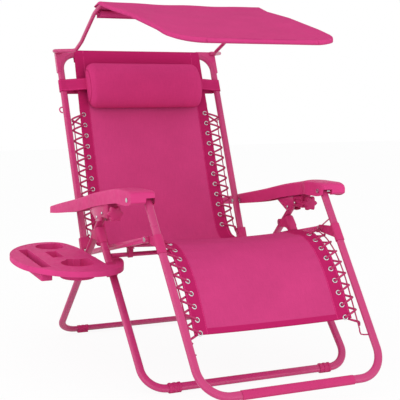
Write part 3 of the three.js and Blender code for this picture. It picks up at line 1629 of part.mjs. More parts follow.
function clampScrew() {
  const inner = -baseRailX - tubeWidth / 2 - seatGap;
  const face = trayLugX - trayLugWall - seatGap;
  const profile = [
    [face - clampKnobLength, clampKnobRadius],
    [face, clampKnobRadius],
    [face, clampScrewRadius],
    [inner, clampScrewRadius],
  ];
  return turnedAlongX(profile, trayPivot.y, trayPivot.z);
}

function buildTray(root, front) {
  const level = new THREE.Group();
  level.position.set(trayCentre.x, trayCentre.y, trayHeight);
  const tilt = new THREE.Group();
  tilt.position.set(0, trayPivot.y, trayPivot.z);
  tilt.rotation.x = degrees(trayTilt);
  level.position.sub(tilt.position);
  tilt.add(level);
  root.add(tilt);
  addPiece(level, 'tray', tray(), plastic);
  addPiece(front, 'tray_clamp', trayClamp(), plastic);
  addPiece(root, 'clamp_screw', clampScrew(), plastic);
}


function buildFrames(root) {
  const back = leaningGroup(backPivot, backRise);
  const legs = leaningGroup(legPivot, legRise);
  root.add(back, legs);
  addPiece(back, 'back_frame_tube', backFrameTube(), framePaint);
  addPiece(legs, 'leg_frame_tube', legFrameTube(), framePaint);
  addPiece(legs, 'leg_bar_sleeve', legBarSleeve(), framePaint);
  for (const { name, sign } of sides) {
    addPiece(legs, `knee_sleeve_${name}`, kneeSleeve(sign), plastic);
    addPiece(back, `hip_cap_${name}`, hipCap(sign), plastic);
    addPiece(root, `seat_link_${name}`, seatLink(sign), framePaint);
    const innerFace = linkX - linkWidth / 2 - seatGap - lugThickness - seatGap;
    const pin = turnedOnSide(boltProfile(innerFace, linkX + linkWidth / 2 + seatGap), sign, kneePivot);
    addPiece(root, `knee_pin_${name}`, pin, steel);
  }
  buildSling(root, back, legs);
  buildCanopy(root, back);
  addPiece(back, 'pillow', pillow(), slingCloth);
  addPiece(back, 'pillow_strap', pillowStrap(), elastic);
}

const group = new THREE.Group();
const frontLegs = buildBase(group);
buildArmrests(group);
buildFrames(group);
buildTray(group, frontLegs);
const bounds = new THREE.Box3().setFromObject(group, true);
const middle = bounds.getCenter(new THREE.Vector3());
group.position.set(-middle.x, -middle.y, -bounds.min.z);

export default group;
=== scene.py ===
import json
import math
import bmesh
import bpy
import numpy as np
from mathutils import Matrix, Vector


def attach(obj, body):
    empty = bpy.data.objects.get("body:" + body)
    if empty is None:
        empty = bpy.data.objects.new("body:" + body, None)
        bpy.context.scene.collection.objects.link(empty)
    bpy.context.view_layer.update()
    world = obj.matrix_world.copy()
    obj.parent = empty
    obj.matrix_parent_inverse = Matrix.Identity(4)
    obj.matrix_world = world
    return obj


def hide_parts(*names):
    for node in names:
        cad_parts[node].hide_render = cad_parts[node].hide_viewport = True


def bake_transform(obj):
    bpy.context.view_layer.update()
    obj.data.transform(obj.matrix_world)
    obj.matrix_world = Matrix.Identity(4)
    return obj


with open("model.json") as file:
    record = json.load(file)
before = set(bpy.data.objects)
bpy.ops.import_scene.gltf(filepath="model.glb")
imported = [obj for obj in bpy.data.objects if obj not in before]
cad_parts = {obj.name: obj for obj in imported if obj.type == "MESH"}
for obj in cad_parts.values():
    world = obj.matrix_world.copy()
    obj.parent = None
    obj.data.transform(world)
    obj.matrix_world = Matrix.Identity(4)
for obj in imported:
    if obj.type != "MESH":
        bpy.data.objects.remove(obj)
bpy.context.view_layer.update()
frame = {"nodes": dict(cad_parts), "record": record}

# Places in this script are in millimetres from the floor's middle line, and are moved to the frame here
MIDDLE = np.array([125.576, -341.216, 0.0])


def metres(points):
    return (np.asarray(points, float) + MIDDLE) / 1000.0


def placed(name, data):
    thing = bpy.data.objects.new(name, data)
    bpy.context.scene.collection.objects.link(thing)
    return thing


# Camera
camera_data = bpy.data.cameras.new("camera")
camera_data.lens = 93.14
camera_data.sensor_width = 36.0
camera = placed("camera", camera_data)
camera.location = metres([-1505.5, -2812.2, 921.9])
camera.rotation_euler = (math.radians(83.84), 0.0, math.radians(-25.18))
bpy.context.scene.camera = camera


# Materials
def fill(tree, made, given):
    """Set or link a node's inputs, which are given by name or place."""
    for name, value in given.items():
        if isinstance(value, bpy.types.NodeSocket):
            tree.links.new(value, made.inputs[name])
        else:
            made.inputs[name].default_value = value


def node(tree, kind, given=None, **settings):
    made = tree.nodes.new(kind)
    for name, value in settings.items():
        setattr(made, name, value)
    fill(tree, made, given or {})
    return made


class Look:
    """A node material that is built a layer at a time."""

    def __init__(self, name, color, rough, metallic=0.0, coords="Object", glint=0.25):
        self.material = bpy.data.materials.new(name)
        self.material.use_nodes = True
        self.tree = self.material.node_tree
        self.shader = self.tree.nodes["Principled BSDF"]
        fill(self.tree, self.shader, {"Metallic": metallic, "Specular IOR Level": glint, "Roughness": rough})
        self.coords = node(self.tree, "ShaderNodeTexCoord").outputs[coords]
        self.color = color

    def math(self, operation, *inputs):
        return node(self.tree, "ShaderNodeMath", dict(enumerate(inputs)), operation=operation).outputs[0]

    def noise(self, scale, detail=3.0, stretch=(1, 1, 1), rough=0.5):
        place = node(self.tree, "ShaderNodeMapping", {"Vector": self.coords, "Scale": stretch})
        given = {"Vector": place.outputs[0], "Scale": scale, "Detail": detail, "Roughness": rough}
        return node(self.tree, "ShaderNodeTexNoise", given).outputs["Fac"]

    def wave(self, axis, period, coords=None):
        given = {"Vector": coords or self.coords, "Scale": 2 * math.pi / (20 * period)}
        settings = {"wave_type": "BANDS", "bands_direction": axis}
        return node(self.tree, "ShaderNodeTexWave", given, **settings).outputs["Fac"]

    def ramp(self, source, low, high, from_low, from_high):
        given = {"Value": source, "From Min": from_low, "From Max": from_high, "To Min": low, "To Max": high}
        return node(self.tree, "ShaderNodeMapRange", given).outputs["Result"]

    def shade(self, source, low, high, from_low=0.3, from_high=0.7):
        """Darken or lighten the colour by a factor that follows the source."""
        factor = self.ramp(source, low, high, from_low, from_high)
        given = {0: self.color, "Scale": factor}
        self.color = node(self.tree, "ShaderNodeVectorMath", given, operation="SCALE").outputs[0]

    def mix(self, factor, color):
        given = {"Factor": factor, "A": self.color, "B": (*color, 1.0)}
        self.color = node(self.tree, "ShaderNodeMix", given, data_type="RGBA").outputs["Result"]

    def roughen(self, source, low, high):
        fill(self.tree, self.shader, {"Roughness": self.ramp(source, low, high, 0.3, 0.7)})

    def bump(self, source, distance, strength):
        given = {"Strength": strength, "Distance": distance, "Height": source}
        normal = node(self.tree, "ShaderNodeBump", given).outputs["Normal"]
        fill(self.tree, self.shader, {"Normal": normal})

    def done(self, coat=0.0, sheen=0.0):
        given = {"Coat Weight": coat, "Coat Roughness": 0.12, "Sheen Weight": sheen, "Sheen Roughness": 0.4}
        fill(self.tree, self.shader, {**given, "Base Color": self.color})
        return self.material


def srgb(red, green, blue):
    return tuple(((c / 255 + 0.055) / 1.055) ** 2.4 if c > 10 else c / 3295 for c in (red, green, blue))


def scaled(color, factor):
    return tuple(min(c * factor, 1.0) for c in color)


CLOTH = srgb(203, 67, 127)
CLOTH_DEEP = srgb(176, 30, 92)
PAINT = srgb(187, 53, 111)
PLASTIC = srgb(190, 48, 108)
ELASTIC = srgb(182, 42, 100)
STEEL = (0.62, 0.62, 0.64)


def painted(name, color=PAINT):
    look = Look(name, color, 0.3, glint=0.3)
    look.shade(look.noise(9.0, 4.0), 0.93, 1.05)
    look.roughen(look.noise(34.0, 5.0), 0.24, 0.4)
    look.bump(look.noise(420.0, 2.0), 0.0002, 0.25)
    wear = look.math("GREATER_THAN", look.noise(70.0, 6.0, rough=0.7), 0.72)
    look.mix(look.math("MULTIPLY", wear, 0.35), scaled(color, 0.55))
    return look.done(coat=0.12)


def moulded(name, color, rough, coat=0.0, glint=0.14):
    look = Look(name, color, rough, glint=glint)
    look.shade(look.noise(14.0), 0.94, 1.05)
    look.roughen(look.noise(60.0, 4.0), rough - 0.06, rough + 0.12)
    look.bump(look.noise(900.0, 2.0), 0.00015, 0.35)
    look.shade(look.noise(260.0, 2.0), 0.992, 1.008)
    return look.done(coat=coat)


def plated(name):
    look = Look(name, STEEL, 0.28, metallic=1.0, glint=0.5)
    look.shade(look.noise(240.0, 5.0, (1, 1, 6)), 0.85, 1.06)
    look.roughen(look.noise(120.0, 4.0), 0.2, 0.42)
    look.bump(look.noise(700.0), 0.0001, 0.3)
    return look.done()


def woven(name, color=CLOTH, border=None, seams=(), top=None, pitch=0.0016, bump=0.00035):
    """Cloth with its weave, its darker hem past border and top, and its seams, all from UV in metres."""
    look = Look(name, color, 0.8, coords="UV", glint=0.02)
    warp = look.wave("X", pitch)
    weft = look.wave("Y", pitch)
    over = look.math("MULTIPLY", warp, look.ramp(weft, 1.0, 0.55, 0.0, 1.0))
    weave = look.math("MAXIMUM", over, look.math("MULTIPLY", weft, 0.8))
    look.shade(look.noise(7.0, 4.0), 0.95, 1.04)
    look.shade(look.noise(60.0, 4.0, (7, 0.5, 1)), 0.955, 1.035)
    look.shade(look.noise(60.0, 4.0, (0.5, 7, 1)), 0.975, 1.02)
    look.shade(weave, 0.86, 1.05, 0.0, 1.0)
    if border is not None:
        place = node(look.tree, "ShaderNodeSeparateXYZ", {0: look.coords}).outputs
        across = look.math("ABSOLUTE", place["X"])
        hem = look.math("GREATER_THAN", across, border)
        if top is not None:
            hem = look.math("MAXIMUM", hem, look.math("GREATER_THAN", place["Y"], top))
        look.mix(look.math("MULTIPLY", hem, 0.92), CLOTH_DEEP)
        for seam in seams:
            line = look.math("LESS_THAN", look.math("ABSOLUTE", look.math("SUBTRACT", across, seam)), 0.0007)
            stitch = look.math("GREATER_THAN", look.wave("Y", 0.005), 0.3)
            thread = look.math("MULTIPLY", line, stitch)
            look.mix(look.math("MULTIPLY", thread, 0.7), scaled(CLOTH, 1.5))
    look.bump(weave, bump, 0.6)
    return look.done()


def braided(name):
    look = Look(name, ELASTIC, 0.7, coords="UV")
    turned = {"Vector": look.coords, "Rotation": (0.0, 0.0, math.radians(38))}
    place = node(look.tree, "ShaderNodeMapping", turned).outputs[0]
    braid = look.math("MAXIMUM", look.wave("X", 0.0016, place), look.wave("Y", 0.0016, place))
    look.shade(braid, 0.78, 1.12, 0.0, 1.0)
    look.shade(look.noise(300.0, 2.0), 0.94, 1.05)
    fleck = look.math("GREATER_THAN", look.noise(900.0, 1.0), 0.68)
    look.mix(look.math("MULTIPLY", fleck, 0.2), scaled(CLOTH, 1.6))
    look.bump(braid, 0.0004, 0.8)
    return look.done(sheen=0.15)


paint = painted("frame_paint")
MATERIALS = {
    "frame_paint": paint,
    "gloss_plastic": moulded("gloss_plastic", PLASTIC, 0.38, 0.08),
    "plastic": moulded("plastic", PLASTIC, 0.44),
    "zinc_steel": plated("zinc_steel"),
    "elastic": moulded("elastic_cord", ELASTIC, 0.7),
    "sling_cloth": woven("sling_cloth"),
    "canopy_cloth": woven("canopy_cloth"),
}
cord_look = braided("braided_elastic")
eyelet_look = plated("eyelet_metal")
# A near-black cloth colour for the discs that fill the eyelet holes: painted shade
hole_shade_look = moulded("eyelet_hole_shade", scaled(CLOTH_DEEP, 0.35), 0.8)
canopy_look = woven("canopy_weave", srgb(200, 62, 123), pitch=0.0012, bump=0.0002)
tray_look = moulded("tray_plastic", srgb(204, 60, 124), 0.5, 0.0, 0.05)
arm_look = moulded("arm_plastic", srgb(204, 58, 122), 0.46, 0.0, 0.08)
pillow_look = woven("pillow_cloth", srgb(201, 57, 119), pitch=0.0014, bump=0.0002)
piping_look = moulded("pillow_piping_cloth", srgb(176, 36, 96), 0.75, 0.05)
band_look = woven("elastic_band", srgb(190, 44, 106), 0.0195, (0.019,), pitch=0.0022, bump=0.0003)
dark_plastic = moulded("cap_plastic", srgb(188, 46, 106), 0.44, 0.04)
part_paint = painted("bracket_paint", srgb(196, 54, 116))
zinc = plated("zinc_hardware")

SLOT_OF = {row["node"]: row["material_slot"] for row in frame["record"]["subparts"]}
BODY_OF = {part: body for body, parts in frame["record"]["behaviour"]["bodies"].items() for part in parts}
for name, thing in frame["nodes"].items():
    for slot in thing.material_slots:
        slot.material = MATERIALS[SLOT_OF[name]]
    if not thing.material_slots:
        thing.data.materials.append(MATERIALS[SLOT_OF[name]])


# Stage: pale floor, white background, soft studio lights
def mix_for_view(tree, plain, bright, surface, share=None):
    """Show the bright shader to camera and glossy rays, and the plain one to all others."""
    path = node(tree, "ShaderNodeLightPath").outputs
    either = {0: path["Is Camera Ray"], 1: path["Is Glossy Ray"]}
    factor = node(tree, "ShaderNodeMath", either, operation="MAXIMUM").outputs[0]
    if share is not None:
        factor = node(tree, "ShaderNodeMath", {0: factor, 1: share}, operation="MULTIPLY").outputs[0]
    mixed = node(tree, "ShaderNodeMixShader", {0: factor, 1: plain, 2: bright})
    tree.links.new(mixed.outputs[0], surface)


def stage():
    size = 12.0
    white = (1.0, 1.0, 1.0, 1.0)
    corners = [(-size, -size, 0), (size, -size, 0), (size, size, 0), (-size, size, 0)]
    mesh = bpy.data.meshes.new("floor")
    mesh.from_pydata(corners, [], [(0, 1, 2, 3)])
    floor = placed("floor", mesh)
    floor.location.z = -0.0003
    look = Look("floor_look", (0.9, 0.9, 0.9), 0.9)
    look.shade(look.noise(1.2), 0.99, 1.01)
    mesh.materials.append(look.done())
    glow = node(look.tree, "ShaderNodeEmission", {"Color": white, "Strength": 1.0})
    surface = look.tree.nodes["Material Output"].inputs["Surface"]
    mix_for_view(look.tree, look.shader.outputs[0], glow.outputs[0], surface, 0.92)
    world = bpy.data.worlds.new("studio")
    bpy.context.scene.world = world
    world.use_nodes = True
    tree = world.node_tree
    soft = tree.nodes["Background"]
    fill(tree, soft, {"Color": white, "Strength": 0.84})
    backdrop = node(tree, "ShaderNodeBackground", {"Color": white, "Strength": 1.0})
    surface = tree.nodes["World Output"].inputs["Surface"]
    mix_for_view(tree, soft.outputs[0], backdrop.outputs[0], surface)


def lamp(name, place, aim, size, power):
    data = bpy.data.lights.new(name, "AREA")
    data.shape = "DISK"
    data.size = size
    data.energy = power
    thing = placed(name, data)
    thing.location = place
    thing.rotation_euler = (Vector(aim) - Vector(place)).to_track_quat("-Z", "Y").to_euler()


stage()
lamp("key", (-2.2, -3.8, 3.2), (0, 0, 0.5), 4.6, 64)
lamp("fill", (2.2, -4.0, 1.5), (0, 0, 0.6), 3.6, 48)
lamp("side", (-4.2, 0.4, 2.0), (0, 0, 0.6), 3.2, 46)
bpy.context.scene.view_settings.view_transform = "Standard"


# Mesh helpers. A shape is its points, its faces and a UV for each point
def outward(faces, points):
    """Turn all the faces round when the body is inside out."""
    volume = 0.0
    for face in faces:
        first = points[face[0]]
        for i in range(1, len(face) - 1):
            volume += float(np.dot(first, np.cross(points[face[i]], points[face[i + 1]])))
    return faces if volume > 0 else [tuple(face)[::-1] for face in faces]


def piece(name, shape, body, look, smooth=True, replaced=()):
    """A new piece. Where it stands in for solids of the frame, those solids are hidden and it takes their
    place.
    """
    points, faces, uvs = shape
    faces = [tuple(int(i) for i in face) for face in outward(faces, points)]
    mesh = bpy.data.meshes.new(name)
    mesh.from_pydata([tuple(p) for p in metres(points)], [], faces)
    layer = mesh.uv_layers.new(name="weave")
    index = np.empty(len(mesh.loops), int)
    mesh.loops.foreach_get("vertex_index", index)
    layer.data.foreach_set("uv", np.asarray(uvs, float)[index].ravel())
    mesh.update()
    if smooth:
        mesh.shade_smooth()
    mesh.materials.append(look)
    thing = placed(name, mesh)
    if body:
        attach(thing, body)
    if replaced:
        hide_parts(*replaced)
    return thing


def sharp(thing, angle):
    thing.data.set_sharp_from_angle(angle=math.radians(angle))


def bevelled(thing, width, segments, angle):
    made = thing.modifiers.new("edge", "BEVEL")
    made.width = width / 1000
    made.segments = segments
    made.limit_method = "ANGLE"
    made.angle_limit = math.radians(angle)
    made.harden_normals = True


def shown_mesh(thing):
    """A copy of the thing's mesh with its modifiers applied."""
    bpy.context.view_layer.update()
    graph = bpy.context.evaluated_depsgraph_get()
    return bpy.data.meshes.new_from_object(thing.evaluated_get(graph))


def unit(vectors):
    return vectors / np.maximum(np.linalg.norm(vectors, axis=-1, keepdims=True), 1e-9)


def length_along(points):
    """The distance from the first point to each point, along the line."""
    return np.concatenate([[0], np.cumsum(np.linalg.norm(np.diff(points, axis=0), axis=1))])


def loft(rings, uvs=None, ends="capped"):
    """A shape through rings of points, with its ends capped, left open or joined to each other."""
    rings = np.array(rings)
    rows, count = rings.shape[:2]
    faces = []
    for r in range(rows if ends == "joined" else rows - 1):
        s = (r + 1) % rows
        for c in range(count):
            d = (c + 1) % count
            faces.append((r * count + c, r * count + d, s * count + d, s * count + c))
    if ends == "capped":
        faces.append(tuple(range(count))[::-1])
        faces.append(tuple(range((rows - 1) * count, rows * count)))
    return rings.reshape(-1, 3), faces, np.zeros((rows * count, 2)) if uvs is None else uvs


def fan(start, count, centre):
    """Triangles from a ring to a centre point."""
    return [(start + k, start + (k + 1) % count, centre) for k in range(count)]


def prism(near, far):
    """A solid between two copies of an outline."""
    count = len(near)
    faces = [tuple(range(count)), tuple(range(2 * count - 1, count - 1, -1))]
    faces += [(k, k + count, (k + 1) % count + count, (k + 1) % count) for k in range(count)]
    return np.array([*near, *far]), faces, np.zeros((2 * count, 2))


def merged(shapes):
    points, faces, uvs = [], [], []
    base = 0
    for p, f, u in shapes:
        points.append(p)
        uvs.append(u)
        faces += [tuple(i + base for i in face) for face in outward(f, p)]
        base += len(p)
    return np.vstack(points), faces, np.vstack(uvs)


def arc(v, n, radius, start, end, steps=12):
    turns = np.linspace(math.radians(start), math.radians(end), steps)
    return [(v + radius * math.cos(a), n + radius * math.sin(a)) for a in turns]


def circle(radius, sides):
    return np.array(arc(0, 0, radius, 0, 360, sides + 1)[:-1])


def oval(width, depth, steps=10):
    middle = (width - depth) / 2
    right = arc(middle, 0, depth / 2, -90, 90, steps + 1)
    return np.array(right + [(-x, -y) for x, y in right])


def rounded(corners, radii, steps):
    """A route with an arc at each inner corner."""
    corners = [np.asarray(c, float) for c in corners]
    points = [corners[0]]
    for before, corner, after, radius in zip(corners[:-2], corners[1:-1], corners[2:], radii):
        arrive, leave = unit(corner - before), unit(after - corner)
        turn = math.acos(max(-1.0, min(1.0, float(arrive @ leave))))
        inward = unit(leave - arrive * (arrive @ leave))
        start = corner - arrive * radius * math.tan(turn / 2)
        for k in range(steps + 1):
            angle = turn * k / steps
            points.append(start + arrive * radius * math.sin(angle) + inward * radius * (1 - math.cos(angle)))
    points.append(corners[-1])
    return np.array(points)


def catmull_rom(a, b, c, d, t):
    """The place at share t of the way from b to c, on a smooth curve through four places."""
    curve = (2 * a - 5 * b + 4 * c - d) * t * t + (3 * b - a - 3 * c + d) * t ** 3
    return 0.5 * (2 * b + (c - a) * t + curve)


def smooth_route(points, per):
    """An open curve through the points, with per steps between two of them."""
    p = np.asarray(points, float)
    p = np.vstack([2 * p[0] - p[1], p, 2 * p[-1] - p[-2]])
    made = [catmull_rom(*p[i - 1:i + 3], k / per) for i in range(1, len(p) - 2) for k in range(per)]
    return np.array(made + [p[-2]])


def smooth_outline(points, per=7):
    """A closed curve through the points."""
    p = np.asarray(points, float)
    n = len(p)
    return np.array([catmull_rom(p[i - 1], p[i], p[(i + 1) % n], p[(i + 2) % n], k / per)
                     for i in range(n) for k in range(per)])


def sweep(outline, points, facing=None, ends="capped"):
    """An outline carried along a route. Its depth keeps to facing, or else it turns as little as it can."""
    points = np.asarray(points, float)
    steps = unit(np.diff(points, axis=0))
    ahead = unit(np.vstack([steps[:1], steps[:-1] + steps[1:], steps[-1:]]))
    if facing is not None:
        second = unit(facing - ahead * (ahead @ facing)[:, None])
        side = np.cross(second, ahead)
    else:
        current = unit(np.cross(ahead[0], [0, 0, 1] if abs(ahead[0][2]) < 0.9 else [1, 0, 0]))
        side = np.zeros_like(points)
        for i, t in enumerate(ahead):
            current = unit(current - t * (current @ t))
            side[i] = current
        second = np.cross(ahead, side)
    rings = points[:, None] + outline[None, :, :1] * side[:, None] + outline[None, :, 1:2] * second[:, None]
    run = length_along(points) / 1000
    girth = length_along(outline) / 1000
    return loft(rings, np.array([(g, r) for r in run for g in girth]), ends)


def sheet(grid, thick, uvs):
    """A closed sheet from a grid of its middle, with one thickness or one for each point."""
    rows, cols = grid.shape[:2]
    normal = unit(np.cross(np.gradient(grid, axis=1), np.gradient(grid, axis=0)))
    half = np.broadcast_to(np.asarray(thick, float), (rows, cols))[..., None] / 2
    points = np.concatenate([(grid + normal * half).reshape(-1, 3), (grid - normal * half).reshape(-1, 3)])
    n = rows * cols
    faces = []
    for r in range(rows - 1):
        for c in range(cols - 1):
            a = r * cols + c
            faces.append((a, a + 1, a + cols + 1, a + cols))
            faces.append((n + a, n + a + cols, n + a + cols + 1, n + a + 1))
    rim = [(0, c) for c in range(cols)] + [(r, cols - 1) for r in range(1, rows)]
    rim += [(rows - 1, c) for c in range(cols - 2, -1, -1)] + [(r, 0) for r in range(rows - 2, 0, -1)]
    places = [r * cols + c for r, c in rim]
    faces += [(b, a, n + a, n + b) for a, b in zip(places, places[1:] + places[:1])]
    return points, faces, np.vstack([np.asarray(uvs, float).reshape(-1, 2)] * 2)


def cut_with_block(thing, x, y, z):
    """Take a block, given by its two sides on each axis, out of a thing."""
    corners = [(a, b, c) for c in z for b in y for a in x]
    faces = [(0, 2, 3, 1), (4, 5, 7, 6), (0, 1, 5, 4), (2, 6, 7, 3), (0, 4, 6, 2), (1, 3, 7, 5)]
    mesh = bpy.data.meshes.new("tool")
    mesh.from_pydata([tuple(p) for p in metres(corners)], [], faces)
    tool = placed("tool", mesh)
    step = thing.modifiers.new("cut", "BOOLEAN")
    step.object = tool
    step.operation = "DIFFERENCE"
    step.solver = "EXACT"
    step.use_self = True
    before, thing.data = thing.data, shown_mesh(thing)
    thing.modifiers.clear()
    bpy.data.meshes.remove(before)
    bpy.data.objects.remove(tool)
    thing.data.shade_smooth()


# Frame tubes. In a leaning plane x is across, v runs up the frame and n is square to it
class Plane:
    def __init__(self, y, z, rise):
        self.base = np.array([0.0, y, z])
        turn = math.radians(rise)
        self.v = np.array([0.0, math.cos(turn), math.sin(turn)])
        self.n = np.array([0.0, -math.sin(turn), math.cos(turn)])

    def at(self, x, v, n):
        return self.base + np.array([x, 0.0, 0.0]) + self.v * v + self.n * n

    def seen(self, y, z):
        """Where a point at y and z lies in the plane, as v and n."""
        gap = np.array([0.0, y, z]) - self.base
        return float(gap @ self.v), float(gap @ self.n)


BACK = Plane(740.0, 490.0, 90 - 21.8)
LEGS = Plane(101.0, 585.0, 90 - 36.26)
FRONT = Plane(5.0, 15.0, 47.93)
REAR = Plane(873.0, 15.0, 180 - 44.63)
FLAT = Plane(0.0, 0.0, 0.0)

TUBE_WIDE = 26.0
TUBE_DEEP = 16.0
BASE_X = 360.0
BACK_X = 316.6
BACK_TOP = 602.0
LEG_TOP_X = 314.5
LEG_LOW_X = 305.0
LEG_TOP = 12.0
LEG_REACH = 652.0
SIDES = (("left", -1), ("right", 1))


def u_tube(name, plane, top_x, low_x, top, bar, radius, body, replaced):
    right = [plane.at(low_x, bar, 0), plane.at(top_x, top, 0)]
    left = [plane.at(-top_x, top, 0), plane.at(-low_x, bar, 0)]
    shape = sweep(oval(TUBE_WIDE, TUBE_DEEP), rounded(left + right, [radius] * 2, 18), plane.n)
    sharp(piece(name, shape, body, paint, replaced=[replaced]), 60)


u_tube("rear_leg_u", REAR, BASE_X, BASE_X, 707, 0, 68, "base", "rear_leg_tube")
u_tube("front_leg_u", FRONT, BASE_X, BASE_X, 598, 0, 72, "front_legs", "front_leg_tube")
u_tube("back_frame_u", BACK, BACK_X, BACK_X, -150, BACK_TOP, 62, "back", "back_frame_tube")
u_tube("leg_frame_u", LEGS, LEG_TOP_X, LEG_LOW_X, LEG_TOP, -LEG_REACH, 92, "legs", "leg_frame_tube")


# Slings
EYELET_X = 250.0
EYELET_PITCH = 41.0
BACK_EYELETS = [76.0 + EYELET_PITCH * k for k in range(12)]
LEG_EYELETS = [22.0 + EYELET_PITCH * k for k in range(9)]
HEM_X = 222.0
HEM_LENGTH = 25.0
SEAMS = (0.2245, 0.2655)
EDGE_SLOPE = 0.16
LEG_HALF = 270.0


class Sling:
    """A sling's middle line in its plane, with the cloth's sag and its edges drawn forward."""

    def __init__(self, plane, route, sign, flat_end=0.0):
        self.plane = plane
        self.sign = sign
        self.flat_end = flat_end
        route = np.asarray(route, float)
        ends = np.vstack([route[0], route, route[-1]])
        fine = [catmull_rom(*ends[i - 1:i + 3], k / 40) for i in range(1, len(ends) - 2) for k in range(40)]
        self.fine = np.array(fine + [ends[-2]])
        self.run = length_along(self.fine)
        self.length = self.run[-1]

    def place(self, distance):
        inside = min(max(distance, 0.0), self.length)
        return np.array([np.interp(inside, self.run, self.fine[:, k]) for k in (0, 1)])

    def at(self, distance):
        """The place in the plane, the way along the line and the way to the front."""
        inside = min(max(distance, 0.0), self.length)
        ahead = self.place(inside + 2.0) - self.place(inside - 2.0)
        ahead = ahead / np.linalg.norm(ahead)
        here = self.place(inside) + ahead * (distance - inside)
        return here, ahead, np.array([-ahead[1], ahead[0]]) * self.sign

    def point(self, distance, x, lift=0.0):
        here, _, front = self.at(distance)
        inner = EYELET_X - 19.0
        rise = EDGE_SLOPE * (max(abs(x), inner) - EYELET_X)
        if abs(x) < inner:
            rise -= 7.0 * (1 - (x / inner) ** 2)
        flat = min(max((self.length - distance) / self.flat_end, 0.0), 1.0) if self.flat_end else 1.0
        place = here + front * (rise * flat + lift)
        return self.plane.at(x, place[0], place[1])

    def eyelet(self, distance, sign):
        """An eyelet's centre, and the ways outward, along the row and square to the cloth."""
        _, ahead, front = self.at(distance)
        along = self.plane.v * ahead[0] + self.plane.n * ahead[1]
        forward = self.plane.v * front[0] + self.plane.n * front[1]
        across = unit(np.array([sign, 0.0, 0.0]) + forward * EDGE_SLOPE)
        square = unit(np.cross(along, across))
        if square @ forward < 0:
            square = -square
        return self.point(distance, sign * EYELET_X), across, along, square


hip_v, hip_n = BACK.seen(677.0, 335.0)
back_line = Sling(BACK, [(hip_v + 17, hip_n + 18), (-132, -4), (-88, -19), (0, -22), (150, -18), (300, -8),
                         (430, -2), (530, 4), (589, 9.6)], 1, 130.0)
leg_line = Sling(LEGS, [(-112, -82), (-135, -60), (-172, -38), (-216, -23), (-262, -16), (-306, -14),
                        (-348, -16), (-389, -20), (-448, -26)], -1)
seat_line = Sling(FLAT, [(664.4, 357), (603, 365), (480, 383), (354, 408), (260, 430), (192, 443),
                         (121, 443)], -1)
ACROSS = np.concatenate([[-1.0, -0.995, -0.975, -0.9, -0.83, -0.815], np.linspace(-0.78, 0.78, 25),
                         [0.815, 0.83, 0.9, 0.975, 0.995, 1.0]])


def hem_thickness(x, half, end_gap):
    """The border and the end hems are folded double, and the rim is thin."""
    folded = 1.0 if abs(x) > HEM_X or end_gap < HEM_LENGTH else 0.0
    rim = min((half - abs(x)) / 1.5, 1.0)
    return (1.4 + folded) * (0.55 + 0.45 * max(rim, 0.0))


def wrinkle(x, v, places):
    """Small pulls that run in from the eyelets, with shallow waves between them."""
    from_edge = EYELET_X - abs(x)
    if not -22 <= from_edge <= 110 or not places[0] - EYELET_PITCH < v < places[-1] + EYELET_PITCH:
        return 0.0
    fade = math.exp(-max(from_edge, 0.0) / 38.0)
    return 1.3 * fade * math.cos(2 * math.pi * (v - places[0]) / EYELET_PITCH)


def panel(line, rows, half_at, places=None, hem_at=1e6):
    grid, uvs, thick = [], [], []
    for distance in rows:
        half = half_at(distance)
        pulls = [wrinkle(s * half, distance, places) if places else 0.0 for s in ACROSS]
        grid.append([line.point(distance, s * half, pull) for s, pull in zip(ACROSS, pulls)])
        uvs.append([(s * half / 1000, distance / 1000) for s in ACROSS])
        thick.append([hem_thickness(s * half, half, abs(distance - hem_at)) for s in ACROSS])
    return np.array(grid), np.array(uvs), np.array(thick)


def back_sling():
    """The back's panel, with its top end folded over the top bar and sewn down behind."""
    rows = np.unique(np.concatenate([np.linspace(0, back_line.length, 96), [24.0, 26.0]]))

    def half_at(distance):
        return 276.0 - 16.0 * distance / back_line.length

    grid, uvs, thick = panel(back_line, rows, half_at, BACK_EYELETS, 0.0)
    half, radius, lap, turned = 258.0, 10.2, 34.0, 66.0
    centre = BACK_TOP + (TUBE_WIDE - TUBE_DEEP) / 2
    fold = arc(centre, 0.0, radius, 90, -90, 15)[1:]
    fold += [(centre - lap * k / 5, 0.3 * k - radius) for k in range(1, 6)]
    past = rows[-1] + 2 + np.linspace(0, turned, len(fold))
    grid = np.concatenate([grid, [[BACK.at(s * half, v, n) for s in ACROSS] for v, n in fold]])
    uvs = np.concatenate([uvs, [[(s * half / 1000, v / 1000) for s in ACROSS] for v in past]])
    thick = np.concatenate([thick, np.full((len(fold), len(ACROSS)), 1.6)])
    look = woven("back_sling_bordered", CLOTH, HEM_X / 1000, SEAMS, top=0.668)
    shape = sheet(grid, thick, uvs)
    cloth = piece("back_sling_cloth", shape, "back", look, replaced=["back_sling"])


